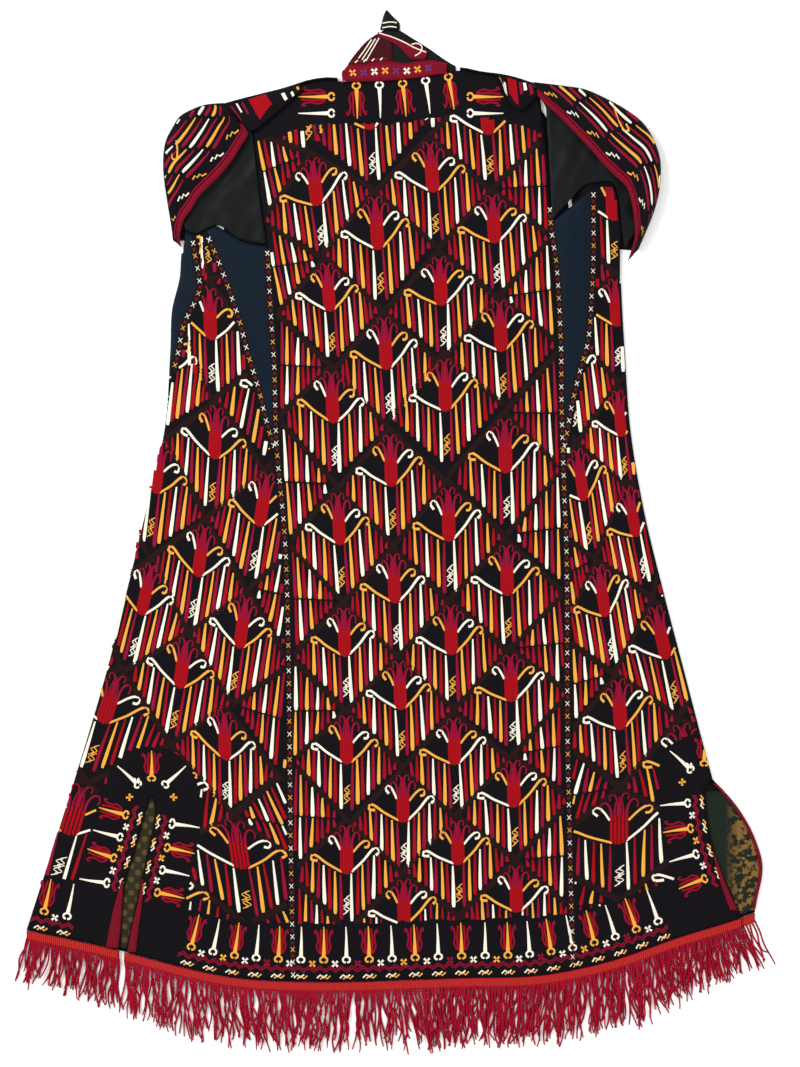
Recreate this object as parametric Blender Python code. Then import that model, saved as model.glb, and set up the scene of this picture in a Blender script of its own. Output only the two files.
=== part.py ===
"""Bridal robe of dark silk, laid face down on a flat surface with its back up.

X runs across the robe, Y up it towards the neck and Z up from the surface that it lies on.
Every size and every table is in millimetres. Meshes are made in metres.
The fronts lie on the surface, the back lies on them, and the sleeves are folded over the back.
"""

import math
from collections import namedtuple

import bmesh
import bpy
from mathutils import Vector

MM = 0.001

# Middle of the robe's outline, fringe included, in the frame of the tables
CENTRE_X = -4.05
CENTRE_Y = -0.05

# Thickness of the cloth and of the thinner facings, and the gap kept between pieces
WALL = 1.8
THIN_WALL = 1.0
GAP = 0.35
SEAM = 0.25
SHOULDER_GAP = 2.2

# Heights of the middle of each layer: fronts, linings that lie on them, and the back
LOWER = WALL / 2
LINING = WALL + GAP + THIN_WALL / 2
UPPER = 4.3
ROLL = (UPPER - LOWER) / 2
FOLD_REACH = ROLL + WALL / 2
ROLL_ANGLES = (90, 45, 0, -45, -90)

# Levels down the robe where something starts or ends
TOP_LEVEL = 550
TOP_BEND = 484
FRONT_NECK_LEVEL = 530
HEM_BEND = -300
HEM_LEVEL = -538
UNDERARM_LEVEL = 357
UNDERARM_BEND = 300
LEFT_WRAP_LEVEL = 333
LEFT_GUSSET_END = 186
GUSSET_TIP = 100
# A gusset stops this far above the place where its seams meet
GUSSET_STOP = 12
RIGHT_GORE_TOP = 398
RIGHT_WRAP_LEVEL = 300
LEFT_VENT_TOP = -313
RIGHT_VENT_TOP = -296
STOPS = (
    LEFT_WRAP_LEVEL, RIGHT_WRAP_LEVEL, LEFT_GUSSET_END + GUSSET_STOP, LEFT_GUSSET_END,
    GUSSET_TIP + GUSSET_STOP, GUSSET_TIP, RIGHT_VENT_TOP, LEFT_VENT_TOP,
)
LEVEL_STEP = 40
FINE_STEP = 20
FINE_LEVEL = 100
FRONT_STEP = 80

# The left vent stands at this part of the gore's width, counted from the side fold
LEFT_VENT_SHARE = 0.378

NECK_LEFT = -75
NECK_RIGHT = 72
FRONT_PARTING = 4

BRAID = 9.0
BRAID_GAP = 0.8
CORD_WIDTH = 2.3
CORD_THICKNESS = 1.6
CORD_LENGTH = 82
CORD_FLOOR = 0.45

Edge = namedtuple("Edge", "y x")
Line = namedtuple("Line", "x y")
Section = namedtuple("Section", "top_x top_y low_x low_y")
Sleeve = namedtuple("Sleeve", "outer_x outer_y band_x band_y seam_x seam_y crown rim")
Crease = namedtuple("Crease", "x0 y0 x1 y1 width rise")
Strip = namedtuple("Strip", "y left right")

# Shoulder line and back neckline, from the left armhole to the right one
SHOULDER = [
    Line(-211, 517), Line(-184, 524), Line(-137, 536), Line(-109, 545), Line(-88, 548),
    Line(-67, 547), Line(-36, 548), Line(-8, 549), Line(19, 552), Line(48, 556),
    Line(71, 560), Line(98, 555), Line(127, 551), Line(157, 542), Line(169, 534),
]

# Edge of the cloth at the hem
HEM = [
    Line(-452, -475), Line(-355, -496), Line(-211, -531), Line(-96, -538), Line(77, -533),
    Line(168, -530), Line(252, -513), Line(336, -484), Line(398, -465), Line(440, -450),
]

BACK_SEAM_LEFT = [
    Edge(550, -179), Edge(484, -177), Edge(444, -172), Edge(396, -167), Edge(346, -160),
    Edge(264, -155), Edge(201, -151), Edge(104, -148), Edge(-8, -138), Edge(-140, -134),
    Edge(-380, -131), Edge(-540, -128),
]
BACK_SEAM_RIGHT = [
    Edge(550, 165), Edge(484, 173), Edge(436, 178), Edge(370, 181), Edge(320, 188),
    Edge(226, 193), Edge(148, 194), Edge(50, 197), Edge(-32, 200), Edge(-236, 201),
    Edge(-344, 203), Edge(-540, 208),
]

# Side folds, where the robe turns under
FOLD_LEFT = [
    Edge(364, -260), Edge(336, -263), Edge(306, -265), Edge(268, -274), Edge(220, -276),
    Edge(124, -283), Edge(28, -305), Edge(-68, -328), Edge(-164, -352), Edge(-260, -380),
    Edge(-356, -410), Edge(-480, -450),
]
FOLD_RIGHT = [
    Edge(330, 265), Edge(292, 266), Edge(220, 270), Edge(124, 277), Edge(28, 293),
    Edge(-68, 316), Edge(-164, 341), Edge(-260, 366), Edge(-300, 377),
]

# Seams between the gores and the plain gussets
GORE_LEFT_INNER = [
    Edge(364, -234), Edge(322, -216), Edge(260, -194), Edge(214, -182), Edge(171, -169),
    Edge(126, -158), Edge(100, -149),
]
GORE_LEFT_OUTER = [
    Edge(364, -249), Edge(346, -248), Edge(306, -241), Edge(290, -241), Edge(251, -259),
    Edge(209, -268), Edge(186, -275),
]
GORE_RIGHT_INNER = [
    Edge(420, 232), Edge(329, 232), Edge(286, 230), Edge(233, 226), Edge(191, 215),
    Edge(148, 205), Edge(112, 199), Edge(100, 196),
]
GORE_RIGHT_OUTER = [Edge(420, 255), Edge(398, 261), Edge(370, 264), Edge(330, 264)]

# Seams of the fronts, on the hidden side
FRONT_SIDE_LEFT = [
    Edge(524, -201), Edge(500, -204), Edge(478, -210), Edge(340, -212), Edge(100, -222), Edge(-540, -300),
]
FRONT_SIDE_RIGHT = [
    Edge(545, 153), Edge(530, 158), Edge(512, 169), Edge(496, 178), Edge(478, 186), Edge(400, 202),
    Edge(326, 206), Edge(-540, 252),
]
FRONT_CENTRE = [Edge(550, -8), Edge(-540, 20)]

# Edges of the side vents, and the bulging edge of the right front under its vent
VENT_LEFT_OUTER = [Edge(-313, -298), Edge(-334, -305), Edge(-386, -319), Edge(-417, -329), Edge(-498, -336)]
VENT_LEFT_INNER = [Edge(-313, -298), Edge(-334, -294), Edge(-382, -303), Edge(-441, -316), Edge(-502, -329)]
VENT_RIGHT_BACK = [Edge(-296, 365), Edge(-348, 370), Edge(-381, 377), Edge(-421, 392), Edge(-456, 408)]
VENT_RIGHT_FRONT = [
    Edge(-296, 376), Edge(-315, 394), Edge(-336, 410), Edge(-364, 425), Edge(-400, 435),
    Edge(-442, 428), Edge(-460, 425),
]

# Lower edge of the black underarm cloth at the left
UNDERARM_HEM_LEFT = [
    Line(-260, 363), Line(-246, 359), Line(-234, 364), Line(-220, 369), Line(-204, 360),
    Line(-194, 353), Line(-181, 348), Line(-158, 346),
]

# Black cloth inside the sleeves: a section is a line from under the sleeve to the lower edge
UNDERARM_LEFT = [
    Section(-263, 374, -257, 364), Section(-256, 400, -245, 360), Section(-244, 417, -234, 365),
    Section(-230, 432, -222, 370), Section(-216, 448, -213, 368), Section(-203, 464, -203, 360),
    Section(-191, 479, -191, 353), Section(-182, 488, -175, 349), Section(-177, 478, -160, 347),
]
UNDERARM_RIGHT = [
    Section(175, 514, 182, 375), Section(193, 508, 192, 388), Section(212, 491, 205, 401),
    Section(230, 473, 221, 418), Section(248, 458, 238, 422), Section(266, 442, 256, 421),
    Section(281, 420, 263, 400), Section(286, 390, 266, 367), Section(284, 362, 270, 340),
]

# A sleeve's stations run from the armhole seam to its lowest corner
SLEEVE_LEFT = [
    Sleeve(-212, 516, -186, 487, -213, 509, 10, 9.5),
    Sleeve(-232, 514, -182, 478, -213, 494, 13, 11),
    Sleeve(-247, 509, -189, 466, -213, 479, 16, 12.5),
    Sleeve(-263, 500, -198, 451, -213, 464, 18, 13.5),
    Sleeve(-273, 485, -210, 435, -213.5, 449, 19, 14),
    Sleeve(-280, 471, -225, 419, -214, 434, 19, 14),
    Sleeve(-283, 455, -239, 405, -214, 419, 19, 14),
    Sleeve(-283, 430, -250, 388, -214, 404, 17, 13),
    Sleeve(-279, 400, -259, 375, -214.5, 389, 14, 11),
    Sleeve(-274, 369, -264, 356, -215, 374, 10, 8),
    Sleeve(-272, 352, -262, 343, -240, 356, 9, 7.5),
]
SLEEVE_RIGHT = [
    Sleeve(160, 541, 165, 524, 166.5, 530, 9.5, 9.5),
    Sleeve(176, 539, 177, 512, 175, 512, 12, 10.5),
    Sleeve(198, 536, 194, 496, 184, 496, 16, 12),
    Sleeve(221, 532, 211, 478, 192, 478, 20, 14),
    Sleeve(244, 522, 228, 460, 197, 462, 23, 15),
    Sleeve(266, 510, 244, 441, 200, 446, 25, 16),
    Sleeve(288, 494, 259, 426, 202.5, 431, 27, 17),
    Sleeve(302, 474, 271, 414, 204.5, 416, 28, 17),
    Sleeve(311, 448, 277, 396, 206, 401, 28, 17),
    Sleeve(311, 418, 280, 376, 207.5, 386, 26, 16),
    Sleeve(304, 386, 281, 354, 208, 371, 21, 13),
    Sleeve(286, 342, 273, 326, 230, 344, 13, 9.5),
]
BAND_WIDTH = 8.0
BAND_SHARE_MOST = 0.4
BAND_PARTING = 1.1
SLEEVE_HEEL = 0.8
SLEEVE_FOLD_SHARE = 0.14
SLEEVE_FOLD_LEAST = 3.0
SLEEVE_FOLD_MOST = 0.3
SLEEVE_CROWN_SHARE = 0.4
SLEEVE_ACROSS = (0.86, 0.7, 0.54, 0.38, 0.24)

# Shoulder corners that drop over the back, from the neck side to the armhole seam
SHOULDER_LEFT = [
    Section(-120, 540, -116, 532), Section(-137, 534, -130, 520), Section(-164, 528, -149, 503),
    Section(-184, 522, -166, 489), Section(-198, 519, -177, 482), Section(-211.2, 515.6, -185.4, 487.3),
]
SHOULDER_RIGHT = [
    Section(116, 551, 122, 540), Section(127, 549, 131, 515), Section(142, 545, 146, 507),
    Section(159.2, 540.5, 164.2, 524),
]
SHOULDER_RISE = 4.5

# Neck: the band along the back neckline, and the front neck corner that shows above it
NECK_BAND = [
    Section(-70, 552, -69, 543), Section(-61, 562, -60, 542), Section(-44, 563, -44, 542),
    Section(-16, 567, -16, 543), Section(7, 564, 7, 545), Section(24, 567, 24, 547),
    Section(42, 567, 42, 550), Section(56, 562, 56, 552.5),
]
NECK_FACING_RIGHT = [
    Section(-26, 600, -26, 544), Section(-15, 606, -15, 544), Section(-3, 605, -3, 544),
    Section(16, 594, 16, 544), Section(35, 582, 35, 544), Section(55, 568, 55, 544),
    Section(67, 561, 67, 544),
]
NECK_FACING_LEFT = [
    Section(-68, 552, -68, 544), Section(-60, 567, -60, 544), Section(-50, 580, -50, 544),
    Section(-41, 590, -41, 544), Section(-30, 598, -30, 544), Section(-20, 602, -20, 544),
    Section(-10, 593, -5, 544),
]
NECK_TRIM = [
    Section(-27, 602, -26, 596), Section(-10, 597, -11, 590), Section(6, 591, 2, 581),
    Section(17, 587, 12, 570), Section(34, 579, 30, 568),
]
NECK_TIP = [
    Section(-24, 604.5, 0, 604.5), Section(-22, 613, -1, 613), Section(-20, 621, -8, 620),
    Section(-17, 628.4, -15, 628),
]
NECK_TIP_DROOP = 1.2
TRIM_HEIGHT = LINING + THIN_WALL + GAP
NECK_BAND_HEIGHT = UPPER + WALL + GAP

# Red facings turned out at the vents
FACING_LEFT_OUTER = [Strip(-415, -333.5, -332), Strip(-440, -341, -333), Strip(-470, -348, -335), Strip(-497, -353, -338)]
FACING_LEFT_INNER = [Strip(-415, -309.5, -308), Strip(-441, -314, -309), Strip(-470, -321, -313), Strip(-502, -327, -317)]
FACING_RIGHT = [Strip(-381, 374.5, 376), Strip(-421, 385, 391), Strip(-452, 396, 405)]
BINDING_LEVELS = (-300, -318, -338, -362, -386, -408, -430, -450)
BINDING_WIDTH = 4.0

# Soft creases of the upper layer
CREASES = [
    Crease(-232, 345, -170, 300, 12, 1.6),
    Crease(-222, 318, -166, 250, 10, 1.4),
    Crease(-205, 290, -172, 190, 9, 1.2),
    Crease(205, 375, 200, 200, 9, 1.8),
    Crease(219, 400, 218, 260, 8, 1.6),
    Crease(205, 480, 192, 400, 10, 1.8),
    Crease(225, 450, 204, 420, 9, 1.5),
    Crease(-240, 400, -190, 372, 11, 1.8),
    Crease(-215, 430, -178, 410, 9, 1.5),
    Crease(-100, 500, 110, 505, 16, 1.2),
    Crease(-60, 120, 90, 70, 26, 1.0),
    Crease(-210, -40, -170, -210, 22, 1.2),
    Crease(250, 40, 268, -160, 20, 1.2),
    Crease(-80, -250, 60, -330, 30, 1.0),
    Crease(-350, -330, -290, -250, 20, 1.0),
    Crease(300, -300, 330, -400, 22, 1.0),
    Crease(20, 380, 30, 200, 24, 1.0),
]

INDIGO_BLACK = (0.012, 0.013, 0.017, 1.0)
NAVY = (0.008, 0.016, 0.035, 1.0)
BLACK = (0.010, 0.010, 0.009, 1.0)
MADDER_RED = (0.30, 0.012, 0.026, 1.0)
MAROON = (0.075, 0.012, 0.016, 1.0)
PRINTED_OLIVE = (0.075, 0.060, 0.022, 1.0)


def clear_scene():
    """Remove every object of the open scene."""
    for thing in list(bpy.data.objects):
        bpy.data.objects.remove(thing, do_unlink=True)


def cloth_material(name, colour, roughness):
    """Plain cloth finish with the piece's own colour."""
    material = bpy.data.materials.new(name)
    material.use_nodes = True
    shader = material.node_tree.nodes["Principled BSDF"]
    shader.inputs["Base Color"].default_value = colour
    shader.inputs["Roughness"].default_value = roughness
    shader.inputs["Metallic"].default_value = 0.0
    return material


def in_metres(place):
    """A place of the tables, in metres from the middle of the whole robe's outline."""
    x, y, z = place
    return Vector((x - CENTRE_X, y - CENTRE_Y, z)) * MM


def ease(share):
    """Smooth step from 0 to 1."""
    held = min(1.0, max(0.0, share))
    return held * held * (3 - 2 * held)


def mix(start, end, share):
    """Straight mix of two numbers."""
    return start + (end - start) * share


def shares(count):
    """Even shares from 0 to 1, both ends counted."""
    return [step / count for step in range(count + 1)]


def read(table, at):
    """Value of a two-column table at a place between its rows, on a smooth curve through them."""
    rows = sorted(table)
    if at <= rows[0][0]:
        return rows[0][1]
    if at >= rows[-1][0]:
        return rows[-1][1]
    low = max(index for index, row in enumerate(rows[:-1]) if row[0] <= at)

    def slope(index):
        before = rows[max(0, index - 1)]
        after = rows[min(len(rows) - 1, index + 1)]
        return (after[1] - before[1]) / (after[0] - before[0])

    start, end = rows[low], rows[low + 1]
    span = end[0] - start[0]
    t = (at - start[0]) / span
    return (
        (2 * t**3 - 3 * t**2 + 1) * start[1]
        + (t**3 - 2 * t**2 + t) * span * slope(low)
        + (3 * t**2 - 2 * t**3) * end[1]
        + (t**3 - t**2) * span * slope(low + 1)
    )


def crease_rise(crease, x, y):
    """Height that one crease adds at a place: highest along its line, and fading out at its ends."""
    along_x, along_y = crease.x1 - crease.x0, crease.y1 - crease.y0
    length_squared = along_x**2 + along_y**2
    share = ((x - crease.x0) * along_x + (y - crease.y0) * along_y) / length_squared
    held = min(1.0, max(0.0, share))
    off = math.hypot(x - mix(crease.x0, crease.x1, held), y - mix(crease.y0, crease.y1, held))
    if off >= 2 * crease.width:
        return 0.0
    return crease.rise * (0.5 + 0.5 * math.cos(math.pi * off / (2 * crease.width)))


def upper_height(x, y):
    """Height of the middle of the upper layer."""
    return UPPER + max(crease_rise(crease, x, y) for crease in CREASES)


def thread_y(level, x):
    """Y of a crosswise thread, straight in the body and bent to the shoulder line and the hem."""
    top_pull = ease((level - TOP_BEND) / (TOP_LEVEL - TOP_BEND))
    hem_pull = ease((HEM_BEND - level) / (HEM_BEND - HEM_LEVEL))
    to_top = read(SHOULDER, x) - FOLD_REACH - SHOULDER_GAP - TOP_LEVEL
    to_hem = read(HEM, x) - HEM_LEVEL
    return level + top_pull * to_top + hem_pull * to_hem


def underarm_thread_y(level, x):
    """Y of a crosswise thread below the left underarm, bent to the black cloth's lower edge."""
    pull = ease((level - UNDERARM_BEND) / (UNDERARM_LEVEL - UNDERARM_BEND))
    return thread_y(level, x) + pull * (read(UNDERARM_HEM_LEFT, x) - 2 * GAP - UNDERARM_LEVEL)


def on_edge(edge, level, thread=thread_y, inset=0.0):
    """Place on an edge where the thread at a level crosses it, moved across by the inset."""
    y = level
    for _ in range(3):
        x = read(edge, y)
        y = thread(level, x)
    return x + inset


def across(left, right, level, count, thread=thread_y, height=upper_height):
    """Points of one thread between two places, left to right."""
    points = []
    for share in shares(count):
        x = mix(left, right, share)
        y = thread(level, x)
        points.append((x, y, height(x, y)))
    return points


def flat(height):
    """Height function of a flat layer."""
    return lambda x, y: height


def levels(start, end, step=LEVEL_STEP):
    """Levels from one to another, high to low and closer in the upper part, with the stops between."""
    fine = FINE_STEP if step == LEVEL_STEP else step
    regular = [*range(TOP_LEVEL, FINE_LEVEL, -fine), *range(FINE_LEVEL, HEM_LEVEL, -step)]
    spaced = {level for level in regular if all(abs(level - stop) > step / 4 for stop in STOPS)}
    between = {level for level in spaced | set(STOPS) if end + step / 8 < level < start - step / 8}
    return sorted(between | {start, end}, reverse=True)


def sheet(name, patches, colour, roughness=0.7, wall=WALL):
    """Closed wall of cloth round one or more grids of points, which share their common points."""
    mesh = bpy.data.meshes.new(name)
    shape = bmesh.new()
    for grid in patches:
        rows = [[shape.verts.new(in_metres(point)) for point in row] for row in grid]
        for upper_row, lower_row in zip(rows, rows[1:]):
            for column in range(len(upper_row) - 1):
                shape.faces.new((
                    upper_row[column], lower_row[column],
                    lower_row[column + 1], upper_row[column + 1],
                ))
    bmesh.ops.remove_doubles(shape, verts=shape.verts, dist=0.00001)
    shape.to_mesh(mesh)
    shape.free()
    mesh.shade_smooth()
    mesh.materials.append(cloth_material(name, colour, roughness))
    piece = bpy.data.objects.new(name, mesh)
    bpy.context.scene.collection.objects.link(piece)
    thicken = piece.modifiers.new("wall", "SOLIDIFY")
    thicken.thickness = wall * MM
    thicken.offset = 0.0
    thicken.use_even_offset = True
    return piece


def sections_grid(sections, rows, height):
    """Grid over a table of sections, each a straight line from its top to its low end."""
    return [
        [(x, y, height(x, y)) for x, y in (
            (mix(s.top_x, s.low_x, share), mix(s.top_y, s.low_y, share)) for s in sections)]
        for share in shares(rows)
    ]


def side_roll(fold_x, side, y, angles=ROLL_ANGLES):
    """Points round a side fold, from the upper layer down to the lower one."""
    centre = fold_x - side * FOLD_REACH
    middle = (UPPER + LOWER) / 2
    return [
        (centre + side * ROLL * math.cos(math.radians(angle)), y, middle + ROLL * math.sin(math.radians(angle)))
        for angle in angles
    ]


def back_panel():
    """Centre length of the back, from the shoulders and neckline to the hem."""
    grid = []
    for level in levels(TOP_LEVEL, HEM_LEVEL):
        left = on_edge(BACK_SEAM_LEFT, level, inset=SEAM)
        right = on_edge(BACK_SEAM_RIGHT, level, inset=-SEAM)
        grid.append(across(left, right, level, 12))
    sheet("back_panel", [grid], INDIGO_BLACK)


def front_panel(name, side_seam, side, neck_x):
    """One hidden front: it rolls up round the shoulder line and lies flat down to its hem."""
    shoulder_columns, neck_columns = 5, 2

    def outer_x(level):
        return on_edge(side_seam, level, inset=-side * SEAM)

    roll_columns = [mix(outer_x(TOP_LEVEL), neck_x, share) for share in shares(shoulder_columns)]
    shoulder = []
    for angle in ROLL_ANGLES:
        turn = math.radians(angle)
        shoulder.append([
            (x, read(SHOULDER, x) - FOLD_REACH + ROLL * math.cos(turn), (UPPER + LOWER) / 2 + ROLL * math.sin(turn))
            for x in roll_columns
        ])
    shoulder.append(across(outer_x(FRONT_NECK_LEVEL), neck_x, FRONT_NECK_LEVEL, shoulder_columns, height=flat(LOWER)))

    body = []
    for level in levels(FRONT_NECK_LEVEL, HEM_LEVEL, step=FRONT_STEP):
        centre = read(FRONT_CENTRE, level) + side * FRONT_PARTING / 2
        inner = mix(neck_x, centre, 0.0) if level == FRONT_NECK_LEVEL else mix(outer_x(level), centre, 0.62)
        outer_part = across(outer_x(level), inner, level, shoulder_columns, height=flat(LOWER))
        inner_part = across(inner, centre, level, neck_columns, height=flat(LOWER))
        body.append(outer_part + inner_part[1:])
    patches = [shoulder, body]
    if side > 0:
        patches = [[row[::-1] for row in grid] for grid in patches]
    sheet(name, patches, INDIGO_BLACK)


def gussets():
    """Plain underarm gussets on the back, and the plain strip that turns under at the left fold."""
    left = []
    for level in levels(UNDERARM_LEVEL, GUSSET_TIP + GUSSET_STOP):
        start = on_edge(GORE_LEFT_INNER, level, underarm_thread_y, SEAM)
        end = on_edge(BACK_SEAM_LEFT, level, underarm_thread_y, -SEAM)
        left.append(across(start, end, level, 6, underarm_thread_y))
    sheet("gusset_left", [left], NAVY, 0.5)

    right = []
    for level in levels(RIGHT_GORE_TOP, GUSSET_TIP + GUSSET_STOP):
        start = on_edge(BACK_SEAM_RIGHT, level, right_underarm_y, SEAM)
        end = on_edge(GORE_RIGHT_INNER, level, right_underarm_y, -SEAM)
        right.append(across(start, end, level, 4, right_underarm_y))
    sheet("gusset_right", [right], NAVY, 0.5)

    top, wrapped = [], []
    for level in levels(UNDERARM_LEVEL, LEFT_GUSSET_END + GUSSET_STOP):
        fold = on_edge(FOLD_LEFT, level, underarm_thread_y)
        seam = on_edge(GORE_LEFT_OUTER, level, underarm_thread_y, -SEAM)
        start = fold + FOLD_REACH
        shown = across(start, seam, level, 2, underarm_thread_y)[::-1]
        if level >= LEFT_WRAP_LEVEL:
            top.append(shown)
        if level <= LEFT_WRAP_LEVEL:
            y = underarm_thread_y(level, fold)
            inner = on_edge(FRONT_SIDE_LEFT, level, inset=-SEAM)
            hidden = across(start, inner, level, 2, height=flat(LOWER))
            wrapped.append(shown + roll_between(shown[-1], hidden[0], fold, -1, y) + hidden[1:])
    sheet("gusset_left_side", [top, wrapped], NAVY, 0.5)


def right_underarm_y(level, x):
    """Y of a crosswise thread of the right gusset, bent to the black cloth's slanting lower edge."""
    pull = ease((level - UNDERARM_BEND) / (RIGHT_GORE_TOP - UNDERARM_BEND))
    lowest, highest = UNDERARM_RIGHT[0], UNDERARM_RIGHT[4]
    share = (x - lowest.low_x) / (highest.low_x - lowest.low_x)
    edge = mix(lowest.low_y, highest.low_y, share) - 6 * GAP
    return thread_y(level, x) + pull * (edge - RIGHT_GORE_TOP)


def roll_between(upper_point, lower_point, fold, side, y):
    """Points of a side fold that follow the last upper point and end on the first lower one."""
    points = side_roll(fold, side, y)
    return points[1:-1] + [(points[-1][0], lower_point[1], LOWER)]


def gore_left():
    """Left side gore: whole above its vent, turned under at the fold, and slit below the vent's top."""
    inner_columns, outer_columns, hidden_columns = 4, 3, 2
    top, wrapped, inner_flap, outer_flap = [], [], [], []
    for level in levels(UNDERARM_LEVEL, HEM_LEVEL):
        thread = underarm_thread_y
        fold = on_edge(FOLD_LEFT, level, thread)
        seam_table = GORE_LEFT_INNER if level > GUSSET_TIP else BACK_SEAM_LEFT
        seam = on_edge(seam_table, level, thread, -SEAM)
        outer = fold + FOLD_REACH
        if level > LEFT_GUSSET_END:
            outer = on_edge(GORE_LEFT_OUTER, level, thread, SEAM)
        vent_outer = vent_inner = mix(outer, seam, LEFT_VENT_SHARE)
        if level < LEFT_VENT_TOP:
            vent_outer = on_edge(VENT_LEFT_OUTER, level)
            vent_inner = on_edge(VENT_LEFT_INNER, level)
        inner_part = across(vent_inner, seam, level, inner_columns, thread)[::-1]
        outer_part = across(outer, vent_outer, level, outer_columns, thread)[::-1]
        if level >= LEFT_GUSSET_END:
            top.append(inner_part + outer_part[1:])
        if level > LEFT_GUSSET_END:
            continue
        y = thread(level, fold)
        hidden_end = on_edge(FRONT_SIDE_LEFT, level, inset=-SEAM)
        hidden = across(outer, hidden_end, level, hidden_columns, height=flat(LOWER))
        outer_part = outer_part + roll_between(outer_part[-1], hidden[0], fold, -1, y) + hidden[1:]
        if level >= LEFT_VENT_TOP:
            wrapped.append(inner_part + outer_part[1:])
        if level <= LEFT_VENT_TOP:
            inner_flap.append(inner_part)
            outer_flap.append(outer_part)
    sheet("gore_left", [top, wrapped, inner_flap, outer_flap], INDIGO_BLACK)


def gore_right():
    """Right side gore: turned under at the fold, and open along the fold below the vent's top."""
    shown_columns, hidden_columns = 5, 2
    top, wrapped, back_flap, front_flap = [], [], [], []
    for level in levels(RIGHT_GORE_TOP + 20, HEM_LEVEL):
        seam_table = GORE_RIGHT_INNER if level > GUSSET_TIP else BACK_SEAM_RIGHT
        seam = on_edge(seam_table, level, inset=SEAM)
        fold = on_edge(FOLD_RIGHT, level)
        outer = fold - FOLD_REACH
        if level > RIGHT_WRAP_LEVEL:
            outer = on_edge(GORE_RIGHT_OUTER, level)
        if level < RIGHT_VENT_TOP:
            outer = on_edge(VENT_RIGHT_BACK, level) - FOLD_REACH
        shown = across(seam, outer, level, shown_columns)
        if level >= RIGHT_WRAP_LEVEL:
            top.append(shown)
        if level > RIGHT_WRAP_LEVEL:
            continue
        hidden_end = on_edge(FRONT_SIDE_RIGHT, level, inset=SEAM)
        if level >= RIGHT_VENT_TOP:
            y = thread_y(level, fold)
            hidden = across(outer, hidden_end, level, hidden_columns, height=flat(LOWER))
            rolled = roll_between(shown[-1], hidden[0], fold, 1, y)
            wrapped.append(shown + rolled + hidden[1:])
            if level == RIGHT_VENT_TOP:
                back_flap.append(shown + rolled[:2])
                front_flap.append(rolled[1:] + hidden[1:])
            continue
        back_end = outer + FOLD_REACH
        back_flap.append(shown + across(outer, back_end, level, 2)[1:])
        front_edge = on_edge(VENT_RIGHT_FRONT, level)
        turned = across(front_edge, front_edge - 2 * FOLD_REACH, level, 2, height=flat(LOWER))
        hidden = across(front_edge - 2 * FOLD_REACH, hidden_end, level, hidden_columns, height=flat(LOWER))
        front_flap.append(turned + hidden[1:])
    sheet("gore_right", [top, wrapped, back_flap, front_flap], INDIGO_BLACK)


def sleeve_height(station, share):
    """Height of the sleeve's upper layer at a share of the way from the outer fold to the band."""
    if share < SLEEVE_CROWN_SHARE:
        return mix(0.8 * station.crown, station.crown, ease(share / SLEEVE_CROWN_SHARE))
    fall = ease((share - SLEEVE_CROWN_SHARE) / (1 - SLEEVE_CROWN_SHARE))
    return mix(station.crown, station.rim, fall)


def sleeve_place(station, share):
    """Point of the sleeve's upper layer at a share of the way from the outer fold to the band."""
    return (
        mix(station.outer_x, station.band_x, share),
        mix(station.outer_y, station.band_y, share),
        sleeve_height(station, share),
    )


def sleeve_width(station):
    """Width of the sleeve's upper layer at a station."""
    return math.hypot(station.band_x - station.outer_x, station.band_y - station.outer_y)


def band_start(station, parting=0.0):
    """Share of the sleeve's width at which the band starts, less a parting."""
    width = sleeve_width(station)
    band = min(BAND_WIDTH, BAND_SHARE_MOST * width)
    return 1 - (band + parting) / width


def sleeve_row(station):
    """One crosswise row of a sleeve: its upper layer, its outer fold and the layer beneath."""
    cloth_end = band_start(station, BAND_PARTING)
    fold = min(SLEEVE_FOLD_MOST, max(SLEEVE_FOLD_SHARE, SLEEVE_FOLD_LEAST / sleeve_width(station)))
    row = [sleeve_place(station, cloth_end)]
    row += [sleeve_place(station, mix(fold, cloth_end, share)) for share in SLEEVE_ACROSS]
    top = sleeve_height(station, fold)
    centre_z, half = (top + LOWER) / 2, (top - LOWER) / 2
    for angle in ROLL_ANGLES:
        turn = math.radians(angle)
        share = fold * (1 - math.cos(turn))
        x, y, _ = sleeve_place(station, share)
        row.append((x, y, centre_z + half * math.sin(turn) + SLEEVE_HEEL * (angle == -90)))
    start_x, start_y, _ = row[-1]
    for share in (0.12, 0.5, 1.0):
        row.append((mix(start_x, station.seam_x, share), mix(start_y, station.seam_y, share), LOWER))
    return row


def sleeve(name, stations, flip):
    """A sleeve folded over the back, with the red band along its edge as a piece of its own."""
    grid = [sleeve_row(station) for station in stations]
    band = [
        [sleeve_place(station, mix(band_start(station), 1.0, share)) for share in (0.0, 0.5, 1.0)]
        for station in stations
    ]
    if flip:
        grid = [row[::-1] for row in grid]
        band = [row[::-1] for row in band]
    sheet(f"sleeve_{name}", [grid], INDIGO_BLACK)
    sheet(f"sleeve_band_{name}", [band], MADDER_RED)


def shoulder_corner(name, sections):
    """Corner of the shoulder that drops over the back: it lies above it and lifts at its free edge."""
    grid = []
    for share in (0.0, 0.35, 0.7, 1.0):
        row = []
        for section in sections:
            x = mix(section.top_x, section.low_x, share)
            y = mix(section.top_y, section.low_y, share)
            lift = WALL + GAP + SHOULDER_RISE * math.sin(math.pi * 0.75 * share)
            row.append((x, y, upper_height(x, y) + lift))
        grid.append(row)
    sheet(f"shoulder_{name}", [grid], INDIGO_BLACK)


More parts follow.
